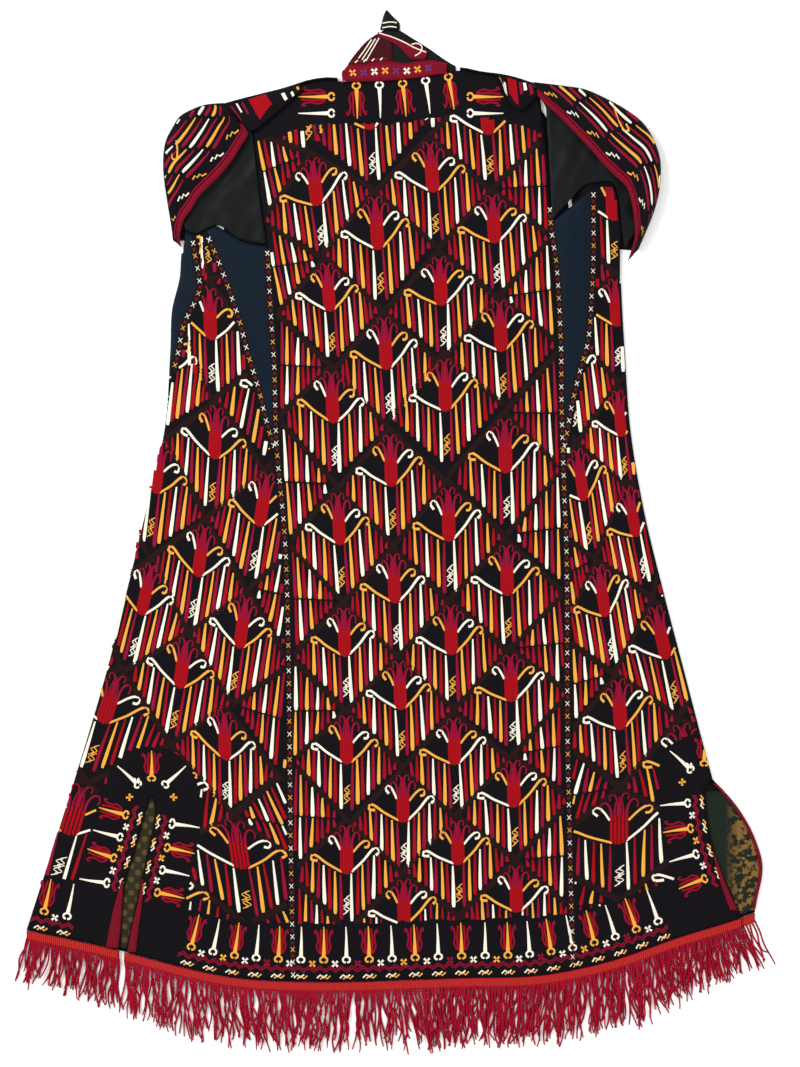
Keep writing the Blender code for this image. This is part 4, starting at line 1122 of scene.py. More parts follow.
    def gore_right(self) -> bpy.types.Object:
        """Right side gore, turned under at the fold and open along it below the vent's top."""
        top, wrapped, back_flap, front_flap = [], [], [], []
        for level in levels(RIGHT_GORE_TOP + 20, HEM_LEVEL, PANEL_STEP, (RIGHT_WRAP_LEVEL, RIGHT_VENT_TOP)):
            seam = on_edge(GORE_RIGHT_INNER if level > GUSSET_TIP else BACK_SEAM_RIGHT, level) + 0.25
            fold = on_edge(FOLD_RIGHT, level)
            outer = fold - FOLD_REACH if level <= RIGHT_WRAP_LEVEL else on_edge(GORE_RIGHT_OUTER, level)
            if level < RIGHT_VENT_TOP:
                outer = on_edge(VENT_RIGHT_BACK, level)
            shown = across(seam, outer, level, 30)
            if level >= RIGHT_WRAP_LEVEL:
                top.append(shown)
            if level > RIGHT_WRAP_LEVEL:
                continue
            end = on_edge(FRONT_SIDE_RIGHT, level)
            if level >= RIGHT_VENT_TOP:
                hidden = across(outer, end, level, 6, height=flat(LOWER))
                wrapped.append(np.concatenate([shown, side_roll(fold, 1, shown[-1], hidden[0]), hidden]))
            if level <= RIGHT_VENT_TOP:
                edge = on_edge(VENT_RIGHT_FRONT, level)
                back_flap.append(shown)
                front_flap.append(across(edge, end, level, 10, height=flat(LOWER)))
        return cloth_piece("side_gore_right", [top, wrapped, back_flap, front_flap], self.finishes.cloth("ground_silk"))


@dataclass
class SleeveForm:
    """One sleeve folded over the back, by its stations.

    Args:
        side: left or right.
        stations: table of the sleeve's crosswise stations.
    """

    side: str
    stations: Sequence

    def at(self, station: np.ndarray) -> np.ndarray:
        """Rows of station values on smooth curves between the given ones."""
        keys = np.arange(len(self.stations))
        return np.stack([read(list(zip(keys, column)), station) for column in np.array(self.stations, float).T], axis=-1)

    def lengths(self) -> np.ndarray:
        """Distance along the band's edge to each station."""
        edge = np.array([(station.band_x, station.band_y) for station in self.stations], float)
        return np.concatenate([[0.0], np.cumsum(np.hypot(*np.diff(edge, axis=0).T))])

    def surface(self, station, share) -> np.ndarray:
        """Points of the upper layer at stations and at shares of the way from the fold to the band."""
        row = self.at(np.asarray(station, float))
        share = np.asarray(share, float)
        crown, rim = row[..., 6], row[..., 7]
        rising = mix(0.8 * crown, crown, ease(share / 0.4))
        falling = mix(crown, rim, ease((share - 0.4) / 0.6))
        dents = 0.9 * np.sin(np.asarray(station, float) * 1.9 + share * 3.0) * np.sin(share * math.pi)
        height = np.where(share < 0.4, rising, falling) + dents * (crown > 12)
        return np.stack([mix(row[..., 0], row[..., 2], share), mix(row[..., 1], row[..., 3], share), height], axis=-1)

    def place(self, along: np.ndarray, inward: np.ndarray) -> np.ndarray:
        """Points just over the cloth at distances along the band's edge and inward from it."""
        station = np.interp(along, self.lengths(), np.arange(len(self.stations)))
        row = self.at(station)
        width = np.hypot(row[..., 2] - row[..., 0], row[..., 3] - row[..., 1])
        spots = self.surface(station, np.clip(1 - inward / width, 0.0, 1.0))
        spots[:, 2] += 0.7
        return spots

    def widths(self, along: np.ndarray) -> np.ndarray:
        """Width of the upper layer at distances along the band's edge."""
        row = self.at(np.interp(along, self.lengths(), np.arange(len(self.stations))))
        return np.hypot(row[..., 2] - row[..., 0], row[..., 3] - row[..., 1])

    def build(self, finishes: Finishes) -> tuple:
        """Make the sleeve and its red band.

        Returns:
            The sleeve and the band.
        """
        cloth, band = [], []
        for station in np.linspace(0, len(self.stations) - 1, 61):
            row = self.at(station)
            width = math.hypot(row[2] - row[0], row[3] - row[1])
            edge = 1 - min(8.0, 0.4 * width) / width
            fold = min(0.3, max(0.14, 3.0 / width))
            shares = np.linspace(edge - 0.6 / width, fold, 22)
            points = list(self.surface(np.full(22, station), shares))
            top = points[-1][2]
            for angle in (70, 45, 20, 0, -20, -45, -70, -90):
                turn = math.radians(angle)
                share = fold * (1 - math.cos(turn))
                spot = self.surface(station, share)
                points.append(np.array([spot[0], spot[1], (top + LOWER) / 2 + (top - LOWER) / 2 * math.sin(turn)]))
            start = points[-1]
            for share in (0.15, 0.4, 0.7, 1.0):
                points.append(np.array([mix(start[0], row[4], share), mix(start[1], row[5], share), LOWER]))
            cloth.append(np.array(points))
            band.append(self.surface(np.full(4, station), np.linspace(edge, 1.0, 4)))
        return (
            cloth_piece(f"sleeve_{self.side}_silk", [cloth], finishes.cloth("ground_silk")),
            cloth_piece(f"sleeve_{self.side}_edge", [band], finishes.cloth("red_cotton")),
        )


class Trims:
    """Shoulder corners, underarm cloth, neck pieces, and the facings and linings of the vents."""

    def __init__(self, finishes: Finishes) -> None:
        """Keep the finishes for the cloth."""
        self.finishes = finishes

    def shoulder(self, name: str, sections: Sequence) -> bpy.types.Object:
        """Corner of the shoulder that drops over the back and lifts at its free edge."""
        grid = sections_grid(sections, 12, 30, upper_height)
        for share, row in zip(np.linspace(0, 1, 13), grid):
            row[:, 2] += WALL + GAP + SHOULDER_RISE * math.sin(math.pi * 0.75 * share)
        return cloth_piece(name, [grid], self.finishes.cloth("ground_silk"))

    def underarm(self, name: str, sections: Sequence, seam: Sequence, side: int) -> bpy.types.Object:
        """Black glossy cloth that shows inside a sleeve."""
        def soft(x: np.ndarray, y: np.ndarray) -> np.ndarray:
            """Height of the soft folds that run in from the armhole."""
            fold = np.sin((x * 0.9 + side * y * 0.45) / 6.5 + np.sin(y / 15.0) * 1.2)
            return upper_height(x, y) + 0.9 * np.clip(fold, -0.2, 1.0) + 0.3 * np.sin(x / 3.9 - y / 8.0)

        grid = sections_grid(sections, 34, 44, soft)
        for row in grid:
            limit = read(seam, row[:, 1]) + side * 0.5
            row[:, 0] = np.maximum(row[:, 0], limit) if side > 0 else np.minimum(row[:, 0], limit)
        return cloth_piece(name, [grid], self.finishes.cloth("black_silk"))

    def neck(self) -> dict:
        """Neck band, and the front neck corner that lies with its inside up."""
        red, black = self.finishes.cloth("red_cotton"), self.finishes.cloth("black_silk")
        tip_rows = sections_grid(NECK_TIP, 6, 12, flat(LINING))
        for row in tip_rows:
            row[:, 2] -= 1.2 * ease((row[:, 1] - 613) / 15)
        return {
            "band": cloth_piece("neckline_band", [sections_grid(NECK_BAND, 4, 40, flat(NECK_BAND_HEIGHT))], red),
            "right": cloth_piece("neck_corner_right", [sections_grid(NECK_FACING_RIGHT, 12, 30, flat(LOWER))], black),
            "left": cloth_piece(
                "neck_corner_left", [sections_grid(NECK_FACING_LEFT, 12, 24, flat(LINING))],
                self.finishes.cloth("maroon_stripe"), 0.8),
            "trim": cloth_piece("neck_corner_edge", [sections_grid(NECK_TRIM, 4, 24, flat(TRIM_HEIGHT))], red, 0.8),
            "tip": cloth_piece("neck_corner_tip", [tip_rows], black, 0.8),
        }

    def strip(self, name: str, strips: Sequence) -> bpy.types.Object:
        """Red facing turned out along a vent's edge."""
        rows = smooth_path([tuple(strip) for strip in strips], 24)
        grid = []
        for y, left, right in rows:
            x = np.linspace(left, right, 4)
            grid.append(np.stack([x, np.full(4, y), upper_height(x, y) + WALL / 2 + GAP + THIN_WALL / 2], axis=1))
        return cloth_piece(name, [grid], self.finishes.cloth("red_cotton"), 0.8)

    def vents(self) -> dict:
        """Red facings and binding, and the printed lining that shows through the vents."""
        left, right, binding = [], [], []
        for level in levels(LEFT_VENT_TOP + 8, HEM_LEVEL + 4, 8):
            left.append(across(on_edge(VENT_LEFT_OUTER, level) - 14, on_edge(VENT_LEFT_INNER, level) + 14, level, 10, height=flat(LINING)))
        for level in levels(RIGHT_VENT_TOP - 14, HEM_LEVEL + 4, 8):
            right.append(across(on_edge(VENT_RIGHT_BACK, level) - 24, on_edge(VENT_RIGHT_FRONT, level) - 1.5, level, 14, height=flat(LINING)))
        for y in np.linspace(-300, -450, 30):
            edge = float(read(VENT_RIGHT_FRONT, y))
            binding.append(np.array([(edge - 4 * share, y, TRIM_HEIGHT + 0.4 * math.sin(math.pi * share)) for share in (1, 0.66, 0.33, 0)]))
        return {
            "lining_left": cloth_piece("vent_lining_left_print", [left], self.finishes.cloth("olive_lining"), 0.8),
            "lining_right": cloth_piece("vent_lining_right_print", [right], self.finishes.cloth("printed_facing"), 0.8),
            "binding": cloth_piece("vent_edge_right", [binding], self.finishes.cloth("red_cotton"), 0.8),
            "left_outer": self.strip("vent_turn_left_outer", FACING_LEFT_OUTER),
            "left_inner": self.strip("vent_turn_left_inner", FACING_LEFT_INNER),
            "right": self.strip("vent_turn_right", FACING_RIGHT),
        }


def over_back(x: np.ndarray, y: np.ndarray) -> np.ndarray:
    """Points just over the upper layer of cloth."""
    return np.stack([x, y, upper_height(x, y) + 0.62], axis=-1)


BORDER_DEPTH = 66.0
VENT_DEPTH = 56.0
VENT_SCALE = 0.84
SEAM_HALF = 4.0
HEM_PATH = np.array([(x, float(read(HEM, x))) for x in np.linspace(-330, 400, 240)])
VENT_INNER_PATH = np.array([(read(VENT_LEFT_INNER, y), y) for y in np.linspace(-500, -313, 50)], float)
VENT_OUTER_PATH = np.array([(read(VENT_LEFT_OUTER, y), y) for y in np.linspace(-317, -498, 50)], float)
LEFT_VENT_PATH = np.concatenate([VENT_INNER_PATH, VENT_OUTER_PATH])
RIGHT_VENT_PATH = np.array([(read(VENT_RIGHT_BACK, y), y) for y in np.linspace(-456, -296, 50)], float)
OUTER_HEM_PATH = np.array([(x, float(read(HEM, x))) for x in np.linspace(-446, -336, 40)])


def distance_to(path: np.ndarray, x: np.ndarray, y: np.ndarray) -> np.ndarray:
    """Distance from places to the nearest point of a path."""
    return np.sqrt(((x[:, None] - path[None, :, 0]) ** 2 + (y[:, None] - path[None, :, 1]) ** 2).min(axis=1))


def clear_of_borders(x: np.ndarray, y: np.ndarray) -> np.ndarray:
    """Places outside the borders of the hem and of both vents."""
    above_hem = y > read(HEM, x) + BORDER_DEPTH + 3
    clear = distance_to(LEFT_VENT_PATH, x, y) > VENT_DEPTH
    return above_hem & clear & (distance_to(RIGHT_VENT_PATH, x, y) > VENT_DEPTH)


def in_back(x: np.ndarray, y: np.ndarray) -> np.ndarray:
    """Places of the back length inside its seams, its neck border and its other borders."""
    inside = (x > read(BACK_SEAM_LEFT, y) + SEAM_HALF + 1) & (x < read(BACK_SEAM_RIGHT, y) - SEAM_HALF - 1)
    return inside & (y < read(SHOULDER, x) - 55) & clear_of_borders(x, y)


def in_gore_left(x: np.ndarray, y: np.ndarray) -> np.ndarray:
    """Places of the left gore inside its seams and borders."""
    seam = np.where(y > GUSSET_TIP, read(GORE_LEFT_INNER, y), read(BACK_SEAM_LEFT, y))
    outer = np.where(y > LEFT_GUSSET_END, read(GORE_LEFT_OUTER, y), read(FOLD_LEFT, y) - 6)
    inside = (x < seam - SEAM_HALF - 1) & (x > outer + SEAM_HALF + 1) & (y < read(UNDERARM_HEM_LEFT, x) - 3)
    return inside & clear_of_borders(x, y) & (distance_to(OUTER_HEM_PATH, x, y) > BORDER_DEPTH)


def in_gore_right(x: np.ndarray, y: np.ndarray) -> np.ndarray:
    """Places of the right gore inside its seams and borders."""
    seam = np.where(y > GUSSET_TIP, read(GORE_RIGHT_INNER, y), read(BACK_SEAM_RIGHT, y))
    outer = np.where(y > RIGHT_WRAP_LEVEL, read(GORE_RIGHT_OUTER, y), read(FOLD_RIGHT, y) - 1)
    outer = np.where(y < RIGHT_VENT_TOP, read(VENT_RIGHT_BACK, y), outer)
    return (x > seam + SEAM_HALF + 1) & (x < outer - 2) & (y < 416) & clear_of_borders(x, y)


BLADE = [(0, 66), (0.3, 50), (0, 29)]
BORDER_PITCH = 28.0


@dataclass
class Border:
    """Row of white daggers and red tulips along an edge, over crosses, a zigzag and paired chevrons.

    Args:
        work: embroidery that the row is added to.
        path: edge that the row follows.
        inward: 1 where the cloth lies to the left of the path's direction, else -1.
        shift: how much further from the edge the row stands than usual.
        scale: share of the usual depth.
    """

    work: ThreadWork
    path: np.ndarray
    inward: int
    shift: float = 0.0
    scale: float = 1.0

    def at(self, points: Sequence) -> np.ndarray:
        """Places of the table's frame for distances along the edge and inward from it."""
        spots = np.array(points, float)
        along = np.concatenate([[0.0], np.cumsum(np.hypot(*np.diff(self.path, axis=0).T))])
        x, y = (np.interp(spots[:, 0], along, self.path[:, axis]) for axis in (0, 1))
        ahead_x = np.interp(spots[:, 0] + 14, along, self.path[:, 0]) - np.interp(spots[:, 0] - 14, along, self.path[:, 0])
        ahead_y = np.interp(spots[:, 0] + 14, along, self.path[:, 1]) - np.interp(spots[:, 0] - 14, along, self.path[:, 1])
        length = np.maximum(np.hypot(ahead_x, ahead_y), 1e-6)
        reach = (spots[:, 1] * self.scale + self.shift) * self.inward
        return np.stack([x - ahead_y / length * reach, y + ahead_x / length * reach], axis=1)

    def stitch(self, points: Sequence, width, thread: Thread, count: int = 8) -> None:
        """Lay a thread given along and inward from the edge."""
        path = self.at(smooth_path(points, count))
        wide = np.linspace(*width, count) if isinstance(width, tuple) else width
        self.work.ribbon(path, wide, thread, 0.8)

    def blade(self, at: float, thread: Thread) -> None:
        """Tapered blade with a two-lobed round head towards the edge."""
        self.stitch([(at + x, y) for x, y in BLADE], (1.2, 4.8), thread, 12)
        for side in (-1, 1):
            lobe = [(at + side * 1.2, 30), (at + side * 4.2, 27.5), (at + side * 3.6, 24), (at + side * 0.9, 23)]
            self.stitch(lobe, 2.3, thread, 10)

    def dagger(self, at: float) -> None:
        """White dagger."""
        self.blade(at, Thread.WHITE)

    def tulip(self, at: float) -> None:
        """Yellow blade between red and crimson petals."""
        self.blade(at, Thread.YELLOW)
        for side in (-1, 1):
            self.stitch([(at + side * 3.6, 33), (at + side * 4.4, 48), (at + side * 3.4, 63)], (3.0, 2.0), Thread.RED, 10)
            outer = [(at + side * 5.5, 34), (at + side * 8.6, 42), (at + side * 7.0, 50), (at + side * 8.4, 60)]
            self.stitch(outer, (1.8, 2.2), Thread.CRIMSON, 12)
            self.stitch([(at + side * 8.0, 58), (at + side * 10.4, 62), (at + side * 11.0, 57)], 1.7, Thread.CRIMSON, 8)

    def cross(self, at: float, inward: float, thread: Thread, reach: float = 4.6) -> None:
        """Cross of four round petals."""
        for turn in range(4):
            angle = math.pi / 4 + turn * math.pi / 2
            spots = [(at + share * reach * math.cos(angle), inward + share * reach * math.sin(angle)) for share in (0.15, 1.0)]
            self.stitch(spots, (1.6, 3.0), thread, 5)

    def chevrons(self, at: float) -> None:
        """Pair of shallow wavy marks near the edge."""
        for shift, thread in ((0.0, Thread.WHITE), (4.0, Thread.YELLOW)):
            wave = [(at - 8 + shift, 4.5), (at - 4 + shift, 8.2), (at + shift, 5.0), (at + 4 + shift, 8.6)]
            self.work.ribbon(self.at([(x, y - shift * 0.35) for x, y in wave]), 1.8, thread, 0.7)

    def figures(self, start: float, end: float) -> float:
        """Alternating daggers and tulips between two distances along the edge, with the pitch used."""
        count = max(1, round((end - start) / BORDER_PITCH))
        pitch = (end - start) / count
        for number in range(count):
            (self.dagger if number % 2 else self.tulip)(start + (number + 0.5) * pitch)
        return pitch

    def build(self, start: float, end: float) -> None:
        """Embroider the whole border between two distances along the edge."""
        pitch = self.figures(start, end)
        crosses = (Thread.WHITE, Thread.YELLOW, Thread.WHITE, Thread.CRIMSON)
        for number, at in enumerate(np.arange(start + pitch, end - pitch / 3, pitch)):
            self.cross(at, 21.5, crosses[number % 4])
        for at in np.arange(start + pitch / 2, end, pitch):
            self.chevrons(at)
        steps = np.arange(start, end, 6.5)
        for inward in (13.4, 16.2):
            zigzag = [(at, inward + (2.6 if step % 2 else -1.8)) for step, at in enumerate(steps)]
            self.work.ribbon(self.at(zigzag), 1.6, Thread.CRIMSON, 0.7)


def vent_fan(work: ThreadWork, apex: tuple, turns: Sequence) -> None:
    """Tulip that points up from the top of a vent, with slanting daggers beside it."""
    for turn in turns:
        angle = math.radians(turn)
        line = np.array([(apex[0] + at * math.cos(angle), apex[1] + at * math.sin(angle)) for at in (-30, 0, 30)])
        border = Border(work, line, 1, scale=VENT_SCALE)
        (border.dagger if turn else border.tulip)(30)
        border.cross(12 if turn >= 0 else 48, 23.0, Thread.YELLOW if turn else Thread.WHITE)


def seam_row(work: ThreadWork, path: np.ndarray, width: float = 8.0) -> None:
    """Row of crosses on a dark ground along a seam, with a crimson thread on each side.

    Args:
        work: embroidery that the row is added to.
        path: line of the seam.
        width: width of the whole row.
    """
    border = Border(work, path, 1)
    length = float(np.hypot(*np.diff(path, axis=0).T).sum())
    along = np.arange(1.0, length - 1, 4.0)
    border_at = lambda offset: border.at([(at, offset) for at in along])
    work.ribbon(border_at(0.0), width, Thread.BLACK, 0.35)
    for side in (-1, 1):
        work.ribbon(border_at(side * width * 0.44), 0.8, Thread.LATTICE, 0.6)
    order = (Thread.WHITE, Thread.CRIMSON, Thread.YELLOW, Thread.CRIMSON, Thread.WHITE, Thread.CRIMSON)
    for number, at in enumerate(np.arange(4.0, length - 4, 7.6)):
        thread = order[number % len(order)]
        half = 1.8 if thread is Thread.CRIMSON else 2.9
        for side in (-1, 1):
            border.stitch([(at - half, -side * half * 0.8), (at + half, side * half * 0.8)], 1.3, thread, 4)


def line_of(table: Sequence, start: float, end: float, thread: Callable = None) -> np.ndarray:
    """Path of a seam down a table of edges, between two heights."""
    y = np.linspace(start, end, max(4, int(abs(end - start) / 6)))
    return np.stack([read(table, y), y], axis=1)


class Embroidery:
    """All needlework of the robe, one mesh for each part of the cloth."""

    BACK = Lattice({
        0: (0, [(-99, 393), (-84, 266), (-80, 132), (-72, -14), (-66, -148), (-64, -277), (-64, -409)]),
        1: (0.5, [(-26, 340), (-16, 196), (-10, 56), (-6, -84), (1, -212), (4, -347), (5, -470)]),
        2: (0, [(40, 409), (50, 273), (55, 146), (59, -10), (62, -146), (66, -278), (70, -398)]),
        3: (0.5, [(114, 348), (122, 218), (127, 72), (129, -75), (134, -202), (137, -329), (140, -455)]),
    })
    GORE_LEFT = Lattice({
        -1: (1.5, [(-294, 48), (-311, -98), (-357, -228), (-398, -362)]),
        0: (0, [(-227, 232), (-223, 89), (-243, -52), (-265, -186), (-284, -320), (-300, -452)]),
        1: (1.5, [(-169, 8), (-193, -138), (-210, -272), (-190, -403)]),
    })
    GORE_RIGHT = Lattice({
        0: (-1, [(190, 317), (205, 179), (221, 39), (247, -100), (265, -236), (263, -373), (266, -508)]),
        1: (-1.5, [(256, 375), (260, 248), (266, 116), (284, -4), (320, -151), (350, -290), (378, -425)]),
    })

    def __init__(self, finishes: Finishes) -> None:
        """Keep the finishes for the silks."""
        self.finishes = finishes

    def work(self, name: str, place: Callable = over_back, keep: Callable = None) -> ThreadWork:
        """Empty embroidery for one part of the cloth."""
        return ThreadWork(name, place, keep)

    def fields(self) -> dict:
        """Lattices of the back length and of both gores."""
        back = self.work("embroidery_back", keep=in_back)
        self.BACK.embroider(back, range(-1, 5), range(-1, 8))
        left = self.work("embroidery_gore_left", keep=in_gore_left)
        self.GORE_LEFT.embroider(left, range(-2, 3), range(-2, 7))
        right = self.work("embroidery_gore_right", keep=in_gore_right)
        self.GORE_RIGHT.embroider(right, range(-1, 3), range(-2, 7))
        return {work.name: work.build(self.finishes) for work in (back, left, right)}

    def borders(self) -> bpy.types.Object:
        """Borders of the hem, of both vents and of the neckline."""
        def keep(x: np.ndarray, y: np.ndarray) -> np.ndarray:
            """Places on cloth of the upper layer."""
            outer = np.where(y < RIGHT_VENT_TOP, read(VENT_RIGHT_BACK, y) - 1, read(FOLD_RIGHT, y))
            return (x > read(FOLD_LEFT, y) - 6) & (x < outer) & (y > read(HEM, x) + 1)

        work = self.work("embroidery_borders", keep=keep)
        hem = Border(work, HEM_PATH, 1)
        hem.build(62, 738 - 66)
        Border(work, VENT_INNER_PATH, -1, scale=VENT_SCALE).build(62, 172)
        Border(work, VENT_OUTER_PATH, -1, scale=VENT_SCALE).build(14, 124)
        Border(work, RIGHT_VENT_PATH, 1, scale=VENT_SCALE).build(40, 156)
        vent_fan(work, (-298, -316), (0, 48, -48))
        vent_fan(work, (365, -298), (0, 48))
        Border(work, OUTER_HEM_PATH, 1).build(0, 56)
        neckline = np.array([(x, float(read(SHOULDER, x)) - 4.0) for x in np.linspace(-112, 118, 80)])
        Border(work, neckline, -1, -20.0).figures(46, 184)
        self.shoulder_figures(work)
        return work.build(self.finishes)

    def shoulder_figures(self, work: ThreadWork) -> None:
        """Sideways daggers and tulips at both ends of the neckline."""
        for side, edge in ((-1, -74), (1, 76)):
            path = np.array([(edge + side * 2, y) for y in np.linspace(548, 480, 20)])
            border = Border(work, path, side, -20.0)
            border.tulip(24)
            border.dagger(44)

    def seams(self) -> bpy.types.Object:
        """Rows of crosses down both seams of the back and round the gussets."""
        work = self.work("embroidery_seams")
        left_hem = float(read(HEM, -128)) + 2
        right_hem = float(read(HEM, 208)) + 2
        seam_row(work, line_of(BACK_SEAM_LEFT, 340, left_hem))
        seam_row(work, line_of(BACK_SEAM_RIGHT, 392, right_hem))
        seam_row(work, line_of(GORE_LEFT_INNER, 356, GUSSET_TIP))
        seam_row(work, line_of(GORE_LEFT_OUTER, 352, LEFT_GUSSET_END + 6))
        seam_row(work, line_of(GORE_RIGHT_INNER, 410, GUSSET_TIP))
        return work.build(self.finishes)

    def sleeve(self, form: SleeveForm) -> bpy.types.Object:
        """Stripes, hooks and S figures that run along a sleeve beside its red band."""
        def keep(along: np.ndarray, inward: np.ndarray) -> np.ndarray:
            """Places on the sleeve's upper layer."""
            return (inward < form.widths(along) * 0.97) & (along > 2) & (along < form.lengths()[-1] - 3)

        work = self.work(f"embroidery_sleeve_{form.side}", form.place, keep)
        total = float(form.lengths()[-1])
        colours = (Thread.CRIMSON, Thread.WHITE, Thread.CRIMSON, Thread.YELLOW)
        steps = np.linspace(0, total, 90)
        zigzag = [(at, 5.2 + (1.3 if step % 2 else -1.3)) for step, at in enumerate(np.arange(3, total, 3.0))]
        work.ribbon(np.array(zigzag), 1.8, Thread.CRIMSON, 0.6)
        work.ribbon(np.stack([steps, np.full(90, 9.6)], axis=1), 1.8, Thread.CRIMSON, 0.7)
        for number, at in enumerate(np.arange(22, total - 10, 33.0)):
            steps_up = [(at - 9, 13), (at - 3, 14.5), (at - 2.5, 18), (at + 3, 17), (at + 3.5, 20.5), (at + 9, 19)]
            work.ribbon(np.array(steps_up), 1.9, Thread.WHITE if number % 2 else Thread.YELLOW, 0.9)
        for row in range(8):
            inward = 27 + row * 7.4
            start = row * 5.6 - 44.0
            number = row
            while start < total:
                length = 50 + work.rng.uniform(-2, 2)
                low = max(start, 3.0)
                path = smooth_path([(low, inward + 0.5), (start + length / 2, inward), (start + length - 5, inward - 0.8)], 14)
                widths = np.interp(np.linspace(0, 1, 14), (0, 0.4, 0.85, 1), (1.4, 3.0, 3.9, 2.6))
                if start + length > 12:
                    work.ribbon(path, widths, colours[number % 4], 0.8)
                start += length
                number += 2
        for share, thread in ((0.42, Thread.YELLOW), (0.7, Thread.WHITE)):
            at = total * share
            hook = [(at, 66), (at + 12, 56), (at + 22, 50), (at + 26, 54), (at + 21, 58)]
            work.curve(hook, 2.4, thread, 18, 1.1)
        return work.build(self.finishes)

    def shoulder(self, side: str, sections: Sequence) -> bpy.types.Object:
        """Stripes across one shoulder corner."""
        def place(along: np.ndarray, down: np.ndarray) -> np.ndarray:
            """Points over the corner at shares along it and down it."""
            keys = np.arange(len(sections))
            row = [read(list(zip(keys, column)), along * (len(sections) - 1)) for column in np.array(sections, float).T]
            x, y = mix(row[0], row[2], down), mix(row[1], row[3], down)
            lift = WALL + GAP + SHOULDER_RISE * np.sin(math.pi * 0.75 * down)
            return np.stack([x, y, upper_height(x, y) + lift + 0.65], axis=-1)

        work = self.work(f"embroidery_shoulder_{side}", place)
        figures = [(0.06, 0.3, 0.7, Thread.YELLOW), (0.16, 0.5, 0.9, Thread.WHITE), (0.25, 0.3, 0.8, Thread.WHITE)]
        figures += [(0.40 + rib * 0.034, 0.06, 0.62 + rib * 0.04, Thread.RED) for rib in range(6)]
        figures += [(0.70, 0.1, 0.5, Thread.CRIMSON), (0.80, 0.1, 0.4, Thread.WHITE), (0.92, 0.15, 0.7, Thread.CRIMSON)]
        length = math.hypot(sections[-1].top_x - sections[0].top_x, sections[-1].top_y - sections[0].top_y)
        depth = max(math.hypot(section.low_x - section.top_x, section.low_y - section.top_y) for section in sections)
        for at, low, high, thread in figures:
            half = 1.6 / length
            shares = np.linspace(low, high, 5)
            for shift in (-half, 0.0, half):
                work.points.append(np.array([(at + shift, share, 0.5 if shift else 0.9) for share in shares]))
                work.uvs.append(np.array([(shift * length, share * depth) for share in shares]))
            first = work.count
            for step in range(4):
                for column in (0, 1):
                    low = first + column * 5 + step
                    work.faces.append((low, low + 1, low + 6, low + 5))
                    work.slots.append(thread)
            work.count += 15
        return work.build(self.finishes)

    def neck(self) -> list:
        """Stripes of the neck corner, and the zigzag and crosses of the neck band."""
        def at(height: float) -> Callable:
            """Places on a flat piece at one height."""
            return lambda x, y: np.stack([x, y, np.full(x.shape, height)], axis=-1)

        facing = self.work("stripes_neck_corner", at(LINING + 0.45))
        for shift in (0, 4.5, 9.0):
            facing.curve([(-50 + shift, 570 - shift * 0.3), (-42 + shift, 581), (-34 + shift, 593 + shift * 0.2)], 1.3, Thread.WHITE, 14, 0.3)
        for number, x in enumerate(np.arange(-64, -16, 5.0)):
            facing.curve([(x, 564 + number * 0.5), (x + 3.2, 567 + number * 0.5)], 1.6, (Thread.WHITE, Thread.RED)[number % 2], 4, 0.3)
        trim = self.work("stripes_neck_edge", at(TRIM_HEIGHT + 0.45))
        trim.curve([(-25, 600.5), (-9, 595.5), (6, 589), (16, 583.5), (31, 577.5)], 1.3, Thread.WHITE, 20, 0.3)
        trim.curve([(14, 587.0), (20, 588), (26, 585), (25, 578), (18, 573)], 1.4, Thread.WHITE, 16, 0.4)
        tip = self.work("stripes_neck_tip", at(LINING + 0.4))
        for y in (607, 612.5):
            tip.curve([(-21, y), (-12, y + 1.5), (-4, y + 0.5)], 1.3, Thread.WHITE, 8, 0.3)
        band = self.work("stripes_neckline", at(NECK_BAND_HEIGHT + 0.7))
        middle = smooth_path([((s.top_x + s.low_x) / 2, (s.top_y + s.low_y) / 2) for s in NECK_BAND], 60)
        for offset, thread in ((-5.5, Thread.CRIMSON), (5.5, Thread.CRIMSON)):
            zigzag = [(x, y + offset + (1.4 if step % 2 else -1.4)) for step, (x, y) in enumerate(middle)]
            band.ribbon(np.array(zigzag), 1.8, thread, 0.5)
        flowers = Border(band, middle, 1)
        for number, along in enumerate(np.arange(14, 118, 13.0)):
            flowers.cross(along, 0.0, (Thread.YELLOW, Thread.PURPLE, Thread.WHITE)[number % 3])
        return [work.build(self.finishes) for work in (facing, trim, tip, band)]


